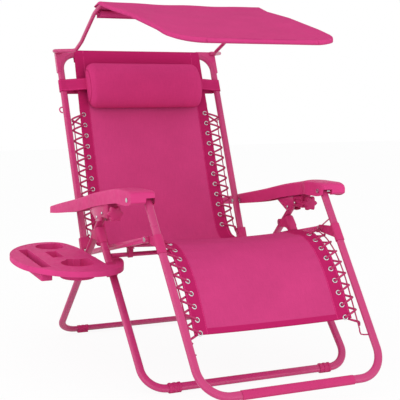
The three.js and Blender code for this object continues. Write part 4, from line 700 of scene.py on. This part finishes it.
def lower_sling():
    """Seat and leg panels: one sheet over the knee, which bends where the two frames meet."""
    rows = np.unique(np.concatenate([np.linspace(0, leg_line.length, 62), [leg_line.length - HEM_LENGTH]]))
    legs, _, leg_thick = panel(leg_line, rows, lambda d: LEG_HALF, LEG_EYELETS, leg_line.length)
    seat, _, seat_thick = panel(seat_line, np.linspace(0, seat_line.length, 58), lambda d: LEG_HALF)
    span = np.linalg.norm(legs[0].mean(0) - seat[-1].mean(0))
    leave = unit(seat[-1] - seat[-2]) * span
    arrive = unit(legs[1] - legs[0]) * span
    bridge = []
    for t in (0.2, 0.4, 0.6, 0.8):
        bridge.append((2 * t ** 3 - 3 * t ** 2 + 1) * seat[-1] + (t ** 3 - 2 * t ** 2 + t) * leave
                      + (-2 * t ** 3 + 3 * t ** 2) * legs[0] + (t ** 3 - t ** 2) * arrive)
    grid = np.concatenate([seat, bridge, legs])
    run = length_along(grid.mean(1)) / 1000
    uvs = [[(s * LEG_HALF / 1000, v) for s in ACROSS] for v in run]
    thick = np.concatenate([seat_thick, np.repeat(leg_thick[:1], 4, 0), leg_thick])
    # A darker copy of the sling cloth: painted shade that offsets the stronger light on the upward-facing
    # seat and leg cloth
    look = woven("leg_sling_bordered", srgb(196, 62, 121), HEM_X / 1000, SEAMS, top=float(run[-1]) - 0.019)
    shape = sheet(grid, thick, uvs)
    cloth = piece("seat_and_leg_cloth", shape, None, look, replaced=["seat_sling", "leg_sling"])
    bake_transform(cloth)


back_sling()
lower_sling()

# Eyelets: pressed rings with a domed rim, and a near-black disc in each hole that is painted shade, as radius
# and height
RIM = [(5.0, -1.8), (7.8, -1.9), (8.9, -1.4), (8.9, 1.0), (8.4, 1.9), (7.2, 2.5), (6.0, 2.4), (5.2, 1.6)]
# A near-black disc that fills each eyelet's hole, where the lace passes through: painted shade in the hole
HOLE_SHADE = [(0.2, -1.5), (5.1, -1.5), (5.1, 1.35), (0.2, 1.35)]


def turned_ring(centre, axis, across, profile, sides=28):
    """A ring from its profile of radii and heights."""
    other = np.cross(axis, across)
    return loft([[centre + across * a + other * b + axis * height for a, b in circle(radius, sides)]
                 for radius, height in profile], ends="joined")


def eyelets(name, line, places, body):
    rims, hole_shades = [], []
    for sign in (-1, 1):
        for distance in places:
            centre, across, _, square = line.eyelet(distance, sign)
            centre = centre + square * wrinkle(EYELET_X, distance, places)
            rims.append(turned_ring(centre, square, across, RIM))
            hole_shades.append(turned_ring(centre, square, across, HOLE_SHADE))
    sharp(piece(name, merged(rims), body, eyelet_look), 50)
    # The discs in the holes carry painted shade
    piece(name + "_hole_shades", merged(hole_shades), body, hole_shade_look, smooth=False)


eyelets("back_eyelets", back_line, BACK_EYELETS, "back")
eyelets("leg_eyelets", leg_line, LEG_EYELETS, "legs")

# Elastic lacing, and the side cords that it goes round
LACE_RADIUS = 3.6
CORD_RADIUS = 2.2
CORD_IN = 8.5


def lace_points(line, sign, places, cord_x, knotted):
    """The lace's route. A knotted one comes back from its last eyelet to the side cord."""
    reach = 4.1 / math.cos(math.pi / 4)
    lift = 4.8
    half = EYELET_PITCH / 2
    points = []

    def side(distance, out, rise, shift):
        _, across, along, square = line.eyelet(distance, sign)
        cord = line.point(distance, sign * cord_x(distance))
        points.append(cord + across * reach * out + square * reach * rise + along * shift)

    side(places[0] - half - 12, 0, 1, 0)
    for distance in places:
        centre, across, _, square = line.eyelet(distance, sign)
        side(distance - half, 1, 0, 0)
        side(distance - half, 0, 1, 4)
        points += [centre + across * 2 + square * lift, centre, centre + across * 2 - square * lift]
        if distance < places[-1] or not knotted:
            side(distance + half, 0, -1, -4)
    if knotted:
        side(places[-1] - 0.8 * EYELET_PITCH, -0.4, -1, 0)
        side(places[-1] - EYELET_PITCH, 0.6, -0.9, 0)
    else:
        side(places[-1] + half, 1, 0, 0)
        side(places[-1] + half + 12, 0, 1, 0)
    return points


def softened(points):
    """Corners cut twice, so that the lace bends smoothly."""
    for _ in range(2):
        made = [points[0]]
        for a, b in zip(points[:-1], points[1:]):
            made += [a + (b - a) * 0.25, b + (a - b) * 0.25]
        points = made + [points[-1]]
    return np.array(points)


def lacing(name, line, places, body, cord_x, knotted):
    low = places[0] - (60.0 if knotted else 24.0)
    high = places[-1] + (-34.0 if knotted else 60.0)
    for side_name, sign in SIDES:

        def tied(distance):
            return line.plane.at(sign * (cord_x(distance) + CORD_IN - 1.8), line.at(distance)[0][0], 0.0)

        cord = [line.point(d, sign * cord_x(d)) for d in (low + (high - low) * k / 24 for k in range(25))]
        cord = ([] if knotted else [tied(low - 4)]) + cord + [tied(high + (6 if knotted else 14))]
        lace = softened(lace_points(line, sign, places, cord_x, knotted))
        lace_tube = sweep(circle(LACE_RADIUS, 10), lace)
        cord_tube = sweep(circle(CORD_RADIUS, 8), smooth_route(cord, 2))
        for kind, solid, shape in (("lace", "lacing", lace_tube), ("cord", "side_cord", cord_tube)):
            stands_for = [f"{name}_{solid}_{side_name}"]
            piece(f"{name}_{kind}_{side_name}", shape, body, cord_look, replaced=stands_for)


def leg_cord_x(distance):
    here = leg_line.at(distance)[0]
    share = min(max((LEG_TOP - here[0]) / (LEG_TOP + LEG_REACH), 0.0), 1.0)
    return LEG_TOP_X + (LEG_LOW_X - LEG_TOP_X) * share - TUBE_WIDE / 2 - CORD_IN


lacing("back", back_line, BACK_EYELETS, "back", lambda d: BACK_X - TUBE_WIDE / 2 - CORD_IN, True)
lacing("leg", leg_line, LEG_EYELETS, "legs", leg_cord_x, False)

# Canopy: bent wire, a rod and one cloth. A place is a share of the way from rear to front, a rise and x
WIRE_RADIUS = 7.0
ROD_RADIUS = 6.0
CANOPY_REAR = 955.0
CANOPY_LENGTH = 1045.0
CANOPY_LOW = 1060.0
CANOPY_RISE = 147.0
CREST = 0.393
CANOPY = [(0, 0, 339), (0.03, 0, 339), (0.091, 0, 285), (0.158, 0.2, 285), (0.325, 0.81, 296),
          (CREST, 1, 296), (0.483, 0.83, 285), (0.651, 0.59, 280), (0.858, 0.22, 275), (1, -0.08, 275)]
BENDS = [10.5, 40, 40, 40, 120, 40, 120, 120, 120, 90]

route = []
for share, rise, x in CANOPY:
    past = max(0.0, share - CREST)
    y = CANOPY_REAR - CANOPY_LENGTH * (share - 0.06 * past)
    route.append(np.array([x, y, CANOPY_LOW + CANOPY_RISE * rise + 20 * past]))
right = [route[0] - np.array([30.0, 0, 0])] + route
left = [p * np.array([-1, 1, 1]) for p in right][::-1]
wire_line = rounded(right + left, BENDS + BENDS[::-1], 9)
wire = sweep(circle(WIRE_RADIUS, 20), wire_line)
sharp(piece("canopy_frame", wire, "canopy", paint, replaced=["canopy_wire"]), 60)
rear = route[4]
rod_x = rear[0] - WIRE_RADIUS - 0.3
rod = sweep(circle(ROD_RADIUS, 18), [[side * rod_x, rear[1], rear[2]] for side in (-1, 1)])
sharp(piece("canopy_rod", rod, "canopy", paint, replaced=["canopy_cross_rod"]), 60)


def canopy_cloth():
    clear = WIRE_RADIUS + 1.0
    across = np.concatenate([[-1.0, -0.985], np.linspace(-0.95, 0.95, 41), [0.985, 1.0]])
    bow = 1 - across ** 2
    grid, uvs = [], []

    def row(y, z, half, sag, drop, v):
        """Add a row of cloth that sags between the rails and hangs down beside them."""
        wave = 1.2 * np.sin(9.0 * across + v * 0.011) * bow if sag else 0.0
        middle = np.column_stack([across * half, np.full(len(across), y), z - sag * bow + wave])
        lowered = ((1.6, 1.0), (2.6, drop * 0.45), (2.4, drop))
        edge = np.array([(half + out, y, z - down) for out, down in lowered])
        points = np.vstack([edge[::-1] * (-1, 1, 1), middle, edge])
        grid.append(points)
        uvs.append([(x / 1000, v / 1000) for x in points[:, 0]])

    # The flap behind the rod and the turn over it
    flap_half = rear[0] - 2 * clear
    wrap = 13.5
    for k in range(6):
        row(rear[1] + wrap + 0.6 * math.sin(k), rear[2] - 15 + 14 * k / 5, flap_half, 0, 0.8, -35.0 + 2.8 * k)
    for turn in np.radians([20, 40, 60, 80, 100]):
        y, z = rear[1] + wrap * math.cos(turn), rear[2] + wrap * math.sin(turn)
        row(y, z, flap_half, 0, 0.8, -21.0 + wrap * turn)
    start = rear + (route[5] - rear) * (27.0 / (rear[1] - route[5][1]))
    row(start[1], start[2] + clear * 1.3, start[0] + clear, 0, 1.2, 20.0)

    # The main panel, which follows the wire
    side = [p for p in wire_line[:len(wire_line) // 2] if p[1] < start[1] - clear]
    dense = []
    for a, b in zip(side[:-1], side[1:]):
        steps = max(int(np.linalg.norm(b - a) / 22), 1)
        dense += [a + (b - a) * k / steps for k in range(steps)]
    dense.append(side[-1])
    for i, p in enumerate(dense):
        along = unit((dense[min(i + 1, len(dense) - 1)] - dense[max(i - 1, 0)])[:2])
        share = (rear[1] - p[1]) / (rear[1] + 90.0)
        sag = 8.0 * math.sin(math.pi * min(share, 1.0)) ** 0.8
        drop = max(13.0 * min((start[1] - p[1]) / 60.0, 1.0), 1.5)
        row(p[1] + clear * along[0], p[2] + clear, p[0] - clear * along[1], sag, drop, rear[1] - p[1])

    # The front edge, turned down over the front bar
    x, y, z = dense[-1]
    row(y - clear, z + clear, x, 0, 13.0, 715.0)
    row(y - clear - 1.6, z + clear - 5.0, x, 0, 8.0, 720.0)
    row(y - clear - 1.8, z + clear - 13.0, x, 0, 1.2, 728.0)
    shape = sheet(np.array(grid), 1.5, uvs)
    cloth = piece("canopy_sheet", shape, "canopy", canopy_look, replaced=["canopy_cloth"])


def canopy_roll():
    """The cloth's inner end, rolled round the rear rod, open at both ends."""
    across = np.linspace(-1, 1, 15) * (rear[0] - 18.0)
    grid, uvs = [], []
    for k in range(12):
        radius, turn = 11.8 - 0.26 * k, math.radians(100 + 40 * k)
        y, z = rear[1] + radius * math.cos(turn), rear[2] + radius * math.sin(turn)
        grid.append([(x, y, z) for x in across])
        uvs.append([(x / 1000, k * 0.008) for x in across])
    roll = piece("canopy_roll", sheet(np.array(grid), 1.2, uvs), "canopy", canopy_look)


canopy_cloth()
canopy_roll()


# Walls and plates from flat outlines
def ring_wall(outer, inner, low, high, edge):
    """A wall between two outlines, with its top and bottom edges eased."""
    toward = unit(inner - outer) * edge
    levels = [(outer + toward, low), (outer, low + edge), (outer, high - edge),
              (outer + toward * 0.3, high - edge * 0.3), (outer + toward, high),
              (inner - toward, high), (inner - toward * 0.3, high - edge * 0.3),
              (inner, high - edge), (inner, low + edge), (inner - toward, low)]
    return loft([np.column_stack([flat, np.full(len(flat), z)]) for flat, z in levels], ends="joined")


def filled(outlines, low, high):
    """A flat plate with holes, from closed outlines: the first is its edge."""
    curve = bpy.data.curves.new("outline", "CURVE")
    curve.dimensions = "2D"
    curve.fill_mode = "BOTH"
    curve.extrude = (high - low) / 2000
    for outline in outlines:
        spline = curve.splines.new("POLY")
        spline.points.add(len(outline) - 1)
        for point, (x, y) in zip(spline.points, outline):
            point.co = (x / 1000, y / 1000, 0.0, 1.0)
        spline.use_cyclic_u = True
    holder = placed("outline", curve)
    made = shown_mesh(holder)
    bpy.data.objects.remove(holder)
    work = bmesh.new()
    work.from_mesh(made)
    bmesh.ops.remove_doubles(work, verts=work.verts, dist=1e-6)
    points = np.array([v.co[:] for v in work.verts]) * 1000 + np.array([0, 0, (low + high) / 2])
    faces = [tuple(v.index for v in face.verts) for face in work.faces]
    work.free()
    bpy.data.meshes.remove(made)
    return points, faces, np.zeros((len(points), 2))


def round_box(x, y, width, length, radius):
    points = []
    for k, (sx, sy) in enumerate(((1, 1), (-1, 1), (-1, -1), (1, -1))):
        middle = x + sx * (width / 2 - radius), y + sy * (length / 2 - radius)
        points += arc(*middle, radius, 90 * k, 90 * k + 90, 7)
    return np.array(points)


def inset(outline, amount):
    ahead = unit(np.roll(outline, -1, 0) - np.roll(outline, 1, 0))
    return outline + np.column_stack([-ahead[:, 1], ahead[:, 0]]) * amount


# Side tray
TRAY_AT = np.array([-459.0, 453.0, 367.0])
TRAY_HALF = (179.0, 247.0)
TRAY_LEAN = math.radians(3.2)
TRAY_EDGE = [(0.88, -0.32), (0.5, -0.24), (0.45, 0.1), (0.43, 0.5), (0.26, 0.9), (-0.14, 0.99),
             (-0.6, 0.82), (-0.92, 0.44), (-1, 0), (-0.88, -0.44), (-0.5, -0.82), (-0.04, -0.98),
             (0.42, -0.97), (0.72, -0.76)]
CUP_DEEP = 46.0
CUPS = [((-8.0, 172.0), 48.0, [(30.0, 26.0, 17.0)]),
        ((2.0, -106.0), 54.0, [(36.0, 34.0, 18.0), (-10.0, 48.0, 14.0)])]
POCKETS = [(-110.0, 5.0, 32.0, 280.0, 44.0), (-30.0, 42.0, 38.0, 92.0, 24.0)]


def lobed(radius, lobes, grown):
    """A cup's outline: a circle with the rounded bays that a mug's handle or a can needs."""
    outline = []
    for ahead in circle(1.0, 96):
        reach = radius
        for x, y, size in lobes:
            along = ahead @ (x, y)
            off = x * x + y * y - along * along
            if along > 0 and off < size * size:
                reach = max(reach, along + math.sqrt(size * size - off))
        outline.append(ahead * (reach + grown))
    return np.array(outline)


def build_tray():
    edge = smooth_outline(np.array(TRAY_EDGE) * TRAY_HALF)
    holes, parts = [], []
    for at, radius, lobes in CUPS:
        ring = lobed(radius, lobes, 0.0) + at
        holes.append(ring)
        parts.append(ring_wall(lobed(radius, lobes, 2.6) + at, ring, -CUP_DEEP, 0.4, 0.8))
        parts.append(filled([lobed(radius, lobes, 1.0) + at], 0.1 - CUP_DEEP, 2.4 - CUP_DEEP))
        foot = [circle(radius * share, 48) + at for share in (0.62, 0.56)]
        parts.append(ring_wall(*foot, 2.2 - CUP_DEEP, 3.0 - CUP_DEEP, 0.3))
    for x, y, width, length, depth in POCKETS:
        inner = round_box(x, y, width, length, 3.0)
        holes.append(inner)
        parts.append(ring_wall(round_box(x, y, width + 5.2, length + 5.2, 5.4), inner, -depth, 0.4, 0.8))
        parts.append(filled([round_box(x, y, width + 3.0, length + 3.0, 4.4)], -depth + 0.1, -depth + 2.6))
    parts.append(filled([inset(edge, 1.2)] + holes, -3.0, 0.0))
    parts.append(ring_wall(edge, inset(edge, 3.0), -18.0, 0.9, 1.3))
    # The lug that holds the clamp's screw
    y, low = 298.0 - TRAY_AT[1], 340.0 - TRAY_AT[2]
    lug = [(y - 12, -1.5), (y - 12, low), (y - 8, low - 9), (y, low - 12), (y + 8, low - 9), (y + 12, low),
           (y + 24, -1.5)]
    parts.append(prism(*[[(x, *place) for place in lug] for x in (76.0, 81.0)]))
    points, faces, uvs = merged(parts)
    c, s = math.cos(TRAY_LEAN), math.sin(TRAY_LEAN)
    shape = (points @ np.array([[1, 0, 0], [0, c, s], [0, -s, c]]) + TRAY_AT, faces, uvs)
    tray = piece("tray_body", shape, "tray", tray_look, replaced=["tray"])
    cut_with_block(tray, (-376.0, -344.0), (289.0, 529.0), (340.0, 380.0))
    sharp(tray, 40)


build_tray()

# Armrests, open below. Each row is a share of the way to the front, a rise, a depth and a flare inward
ARM = [(0, 0, 0.57, 0), (0.138, 0.175, 0.78, 0), (0.384, 0.468, 0.98, 0), (0.573, 0.722, 1, 0),
       (0.712, 0.873, 1, 0), (0.792, 0.952, 1, 0.35), (0.843, 0.992, 1, 0.85), (0.899, 1, 1, 1),
       (0.963, 1, 0.97, 1), (0.992, 0.96, 0.7, 0.9), (1, 0.9, 0.42, 0.75)]
ARM_FRONT = 70.0
ARM_LENGTH = 826.0
ARM_LOW = 486.0
ARM_RISE = 126.0
ARM_DEPTH = 46.0
ARM_OUT = 380.0
ARM_WIDTH = 45.0
ARM_FLARE = 41.0
ARM_WALL = 3.0
ARM_ROOF = 5.0
ARM_RUN = 841.0


def arm_section(along, rise, depth, flare):
    top = ARM_LOW + ARM_RISE * min(rise, 1.0)
    tall = ARM_DEPTH * min(depth, 1.0)
    bottom = top - tall
    inner = ARM_OUT - ARM_WIDTH - ARM_FLARE * min(max(flare, 0.0), 1.0)
    edge = min(7.0, tall / 3)
    low, halfway, shoulder = bottom + 2, bottom + (tall - edge) * 0.5, top - edge
    outline = [(inner, bottom), (inner, low), (inner, halfway), (inner, shoulder)]
    outline += arc(inner + edge, shoulder, edge, 180, 90, 6)[1:]
    middle, reach = (inner + ARM_OUT) / 2, (ARM_OUT - inner) / 2 - edge
    outline += [(middle + s * reach, top + 2.0 * (1 - s * s)) for s in np.linspace(-0.75, 0.75, 7)]
    outline += arc(ARM_OUT - edge, shoulder, edge, 90, 0, 6)
    outline += [(ARM_OUT, halfway), (ARM_OUT, low), (ARM_OUT, bottom)]
    # The hollow, which closes towards both ends
    hollow = min(max((along * ARM_RUN - 3) / 2.0, 0.0), max((0.985 - along) * ARM_RUN / 4.0, 0.0), 1.0)
    deep = (tall - ARM_ROOF) * hollow
    outer, inner = ARM_OUT - ARM_WALL, inner + ARM_WALL
    outline += [(outer, bottom), (outer, bottom + deep * 0.5), (outer, bottom + deep)]
    return outline + [(inner, bottom + deep), (inner, bottom + deep * 0.5), (inner, bottom)]


def armrest(name, sign):
    stations = smooth_route(ARM, 6)
    stations[:, 0] = np.clip(stations[:, 0], 0, 1)
    rings = []
    for row in stations:
        y = ARM_FRONT + ARM_LENGTH * (1 - row[0])
        rings.append([(sign * x, y, z) for x, z in arm_section(*row)])
    arm = piece("arm_" + name, loft(rings), "base", arm_look, replaced=["armrest_" + name])
    cut_with_block(arm, sorted((sign * 299.0, sign * 330.0)), (40.0, 101.0), (500.0, 591.0))
    sharp(arm, 42)


for side_name, sign in SIDES:
    armrest(side_name, sign)

# Head pillow: a fabric bolster, filled in a cloth simulation
PILLOW_SIDES = 40
PILLOW_LOW = 557.0
PILLOW_HIGH = 722.0
PILLOW_HALF = 227.0
PILLOW_TALL = 88.0
PILLOW_DEEP = 60.0
ROUND_SHARE = 0.64
SEAM_ROWS = (2, 62)
CLOTH_SETTINGS = {
    "use_pressure": True, "uniform_pressure_force": 2.4, "quality": 6, "mass": 0.3, "tension_stiffness": 22,
    "compression_stiffness": 22, "shear_stiffness": 12, "bending_stiffness": 0.6, "vertex_group_mass": "held",
}


def pillow_shape():
    """The unfilled case, first as x, way up and way out from its middle, and then in place."""
    places = [(-233.5, 0.24), (-231.5, 0.5)]
    for along in np.linspace(-1, 1, 61):
        end = max(0.0, (abs(along) - 0.87) / 0.13)
        places.append((PILLOW_HALF * along, 1 - 0.28 * (1 - math.sqrt(max(1 - end * end, 0.0)))))
    places += [(231.5, 0.5), (233.5, 0.24)]
    rings = []
    for x, full in places:
        ring = []
        centre = 12.0 if full > 0.6 else 30.0
        for k in range(PILLOW_SIDES):
            share = k / PILLOW_SIDES
            if share < ROUND_SHARE:
                turn = math.pi * share / ROUND_SHARE
                across, out = PILLOW_TALL * math.cos(turn), 12.0 + PILLOW_DEEP * math.sin(turn) ** 0.8
            else:
                back = 2 * (share - ROUND_SHARE) / (1 - ROUND_SHARE) - 1
                across, out = PILLOW_TALL * back, 4.0 + 8.0 * back ** 2
            ring.append((x, across * full - 6.0, centre + (out - centre) * full))
        rings.append(ring)
    flat, faces, _ = loft(rings, ends="open")
    last = len(flat) - PILLOW_SIDES
    flat = np.vstack([flat, flat[:PILLOW_SIDES].mean(0), flat[last:].mean(0)])
    faces += [face[::-1] for face in fan(0, PILLOW_SIDES, len(flat) - 2)]
    faces += fan(last, PILLOW_SIDES, len(flat) - 1)
    low, high = back_line.at(PILLOW_LOW)[0], back_line.at(PILLOW_HIGH)[0]
    up = unit(high - low)
    forward = np.array([-up[1], up[0]])
    points = np.array([BACK.at(x, *((low + high) / 2 + up * a + forward * out)) for x, a, out in flat])
    return flat, (points, faces, flat[:, :2] / 1000)


def puff(thing, frames):
    """Fill a fabric case by pressure, with its back edges and end seams held. No point moves over 6 mm."""
    before = np.array([v.co[:] for v in thing.data.vertices])
    step = thing.modifiers.new("fill", "CLOTH")
    for name, value in CLOTH_SETTINGS.items():
        setattr(step.settings, name, value)
    step.settings.effector_weights.gravity = 0.0
    step.point_cache.frame_start = 1
    step.point_cache.frame_end = frames
    for number in range(1, frames + 1):
        bpy.context.scene.frame_set(number)
    made = shown_mesh(thing)
    thing.modifiers.clear()
    bpy.context.scene.frame_set(1)
    move = np.array([v.co[:] for v in made.vertices]) - before
    bpy.data.meshes.remove(made)
    size = np.linalg.norm(move, axis=1, keepdims=True)
    after = before + move * np.minimum(1.0, 0.006 / np.maximum(size, 1e-9))
    thing.data.vertices.foreach_set("co", after.ravel())
    thing.data.update()


def build_pillow():
    flat, shape = pillow_shape()
    case = piece("pillow_case", shape, "pillow", pillow_look, replaced=["pillow"])
    held = [i for i, (x, _, out) in enumerate(flat) if out < 12.5 or abs(x) > PILLOW_HALF - 1]
    case.vertex_groups.new(name="held").add(held, 1.0, "REPLACE")
    puff(case, 14)
    case.data.shade_smooth()
    sharp(case, 55)
    # Piping along the two end seams
    for (side_name, _), row in zip(SIDES, SEAM_ROWS):
        seam = case.data.vertices[row * PILLOW_SIDES:(row + 1) * PILLOW_SIDES]
        ring = np.array([v.co[:] for v in seam]) * 1000 - MIDDLE
        ring = ring.mean(0) + (ring - ring.mean(0)) * 0.995
        tube = sweep(circle(1.5, 8), np.vstack([ring, ring[:2]]), ends="open")
        piece("pillow_piping_" + side_name, tube, "pillow", piping_look)


build_pillow()


# Rigid pieces with eased edges, made from the frame's own solids
def eased(part, width, look):
    source = frame["nodes"][part]
    work = bmesh.new()
    work.from_mesh(source.data)
    work.transform(source.matrix_world)
    bmesh.ops.remove_doubles(work, verts=work.verts, dist=2e-5)
    bmesh.ops.dissolve_limit(work, angle_limit=math.radians(1.5), verts=work.verts, edges=work.edges)
    mesh = bpy.data.meshes.new("eased_" + part)
    work.to_mesh(mesh)
    work.free()
    mesh.materials.clear()
    mesh.materials.append(look)
    thing = placed("eased_" + part, mesh)
    bevelled(thing, width, 3, 32)
    thing.data = shown_mesh(thing)
    thing.modifiers.clear()
    bpy.data.meshes.remove(mesh)
    thing.data.shade_smooth()
    sharp(thing, 50)
    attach(thing, BODY_OF[part])
    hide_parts(part)


EDGE_WIDTHS = {"hip_cap": 1.4, "cross_bumper": 1.2, "lock_bracket": 0.8, "lock_block": 1.6, "lock_knob": 1.0,
               "seat_link": 1.5, "rear_foot": 0.6, "front_foot": 0.6, "slide_strip": 0.6}
for kind, width in EDGE_WIDTHS.items():
    look = part_paint if kind in ("lock_bracket", "seat_link", "slide_strip") else dark_plastic
    for side_name, _ in SIDES:
        eased(f"{kind}_{side_name}", width, look)
eased("tray_clamp", 2.2, dark_plastic)
eased("clamp_screw", 1.6, dark_plastic)


# Sleeves with ears: the caps of the front legs and the knee sleeves of the leg frame
def sleeve_with_ears(name, plane, stations, rail_x, ears, outline, body, replaced):
    """A sleeve that grows and shrinks along the rail, given as place and growth, and its flat ears."""
    section = oval(TUBE_WIDE, TUBE_DEEP)
    rings = []
    for v, grown in stations:
        wide, deep = 1 + 2 * grown / TUBE_WIDE, 1 + 2 * grown / TUBE_DEEP
        rings.append([plane.at(rail_x(v) + a * wide, v, b * deep) for a, b in section])
    points, faces, uvs = loft(rings, ends="open")
    # The end faces look inward, so that the bevel leaves a lip round each end
    last = len(points) - len(section)
    faces += [tuple(range(len(section))), tuple(range(last, len(points)))[::-1]]
    parts = [(points, faces, uvs)]
    parts += [prism(*[[plane.at(x, v, n) for v, n in outline] for x in ear]) for ear in ears]
    thing = piece(name, merged(parts), body, dark_plastic, replaced=[replaced])
    sharp(thing, 38)
    bevelled(thing, 1.0, 2, 45)


def leg_cap(name, sign):
    v, n = FRONT.seen(444.6, 437.9)
    ear = [(v - 62, -2.0), (v - 62, -9.0), (v - 46, -13.0), (v - 20, n + 2)] + arc(v, n, 12.5, 200, 380)
    ear += [(v - 6, -12.0), (v - 8, -2.0)]
    stations = [(540, 1.2), (541.5, 2.0), (556, 2.2), (559, 4.2), (594, 4.2), (598, 3.6), (600.4, 1.6)]
    x = sign * BASE_X
    ears = [(x - 17.4, x - 13.3), (x + 13.3, x + 17.4)]
    sleeve_with_ears("cap_" + name, FRONT, stations, lambda v: x, ears, ear, "front_legs", "leg_cap_" + name)


def knee_sleeve(name, sign):
    v, n = LEGS.seen(105.0, 460.0)
    ear = [(v - 76, 0.0), (v - 74, -9.0)] + arc(v, n, 11.5, 208, 395) + [(v - 30, -9.0), (v - 28, 0.0)]
    stations = [(-189, 1.0), (-188, 2.2), (-128, 2.2), (-127, 1.0)]

    def rail_x(v):
        return sign * (LEG_TOP_X + (LEG_TOP_X - LEG_LOW_X) * v / LEG_REACH)

    ears = [sorted((sign * 304.7, sign * 309.7))]
    sleeve_with_ears("knee_" + name, LEGS, stations, rail_x, ears, ear, "legs", "knee_sleeve_" + name)


def corner_plate(name, sign):
    """The plate outside a bend of the back frame, which carries the canopy's pivot."""
    bend, wide = 62.0, BACK_X
    outline = [(wide - bend - 6, 602.0), (wide - bend - 6, 617.0), (wide + 9, 617.0)]
    outline += arc(wide + 9, 611, 6, 60, 0, 3) + [(wide + 15, 528.0), (wide, 528.0)]
    outline += arc(wide - bend, 540, bend, 0, 90, 14)
    plate = prism(*[[BACK.at(sign * x, v, n) for x, v in outline] for n in (-9.2, 9.2)])
    ring = circle(8.2, 24) + (609.08, 12.06)
    boss = prism(*[[BACK.at(sign * x, v, n) for v, n in ring] for x in (312.0, 336.0)])
    shape = merged([plate, boss])
    thing = piece("corner_plate_" + name, shape, "back", part_paint, replaced=["canopy_bracket_" + name])
    sharp(thing, 35)
    bevelled(thing, 1.6, 2, 40)


for side_name, sign in SIDES:
    leg_cap(side_name, sign)
    knee_sleeve(side_name, sign)
for side_name, sign in SIDES:
    corner_plate(side_name, sign)

# A small wire hook on the left rail, below the pillow
HOOK = ((322, 390), (332, 390), (339, 387), (342, 380), (339, 372), (331, 368))
hook_route = smooth_route([BACK.at(-x, v, 0.0) for x, v in HOOK], 6)
piece("rail_hook", sweep(circle(2.6, 12), hook_route), "back", part_paint)


def strap():
    """The pillow's woven elastic band, which goes round both rails and is folded at its ends."""
    place, middle = back_line.at((PILLOW_LOW + PILLOW_HIGH) / 2)[0]
    clear = TUBE_DEEP / 2 + 1.7
    outer = BACK_X + TUBE_WIDE / 2 + 1.7
    inner = BACK_X - TUBE_WIDE / 2
    right = [(224.0, middle + 26), (inner, clear), (outer - clear / 2, clear), (outer, clear / 2),
             (outer, -clear / 2), (outer - clear / 2, -clear), (inner, -22.0)]
    band_route = rounded(right + [(-x, n) for x, n in right[::-1]], [3.0] * 12, 5)
    across = np.linspace(-23, 23, 9)
    grid = np.array([[BACK.at(x, place + v, n) for v in across] for x, n in band_route])
    uvs = [[(v / 1000, r / 1000) for v in across] for r in length_along(grid.mean(1))]
    sharp(piece("pillow_band", sheet(grid, 1.4, uvs), "pillow", band_look, replaced=["pillow_strap"]), 60)


def rivet(name, x, y, z, half, radius):
    """A rivet's two domed heads, one beyond each end of its pin."""
    sides = 20
    heads = []
    for out in (-1, 1):
        foot, tip = (x + out * half, y, z), (x + out * (half + 2.9), y, z)
        rings = []
        for turn in np.radians([0, 22.5, 45, 67.5]):
            rise, reach = out * 2.9 * math.sin(turn), radius * math.cos(turn)
            rings.append([(foot[0] + rise, y + a, z + b) for a, b in circle(reach, sides)])
        points, faces, _ = loft(rings, ends="open")
        count = len(points)
        faces += fan(count - sides, sides, count) + [face[::-1] for face in fan(0, sides, count + 1)]
        heads.append((np.vstack([points, tip, foot]), faces, np.zeros((count + 2, 2))))
    piece(name, merged(heads), "base", zinc)


strap()
for side_name, sign in SIDES:
    rivet("lock_rivet_rear_" + side_name, sign * BASE_X, 387.0, 501.0, 16.2, 5.5)
    rivet("lock_rivet_front_" + side_name, sign * BASE_X, 334.0, 520.0, 17.6, 5.0)
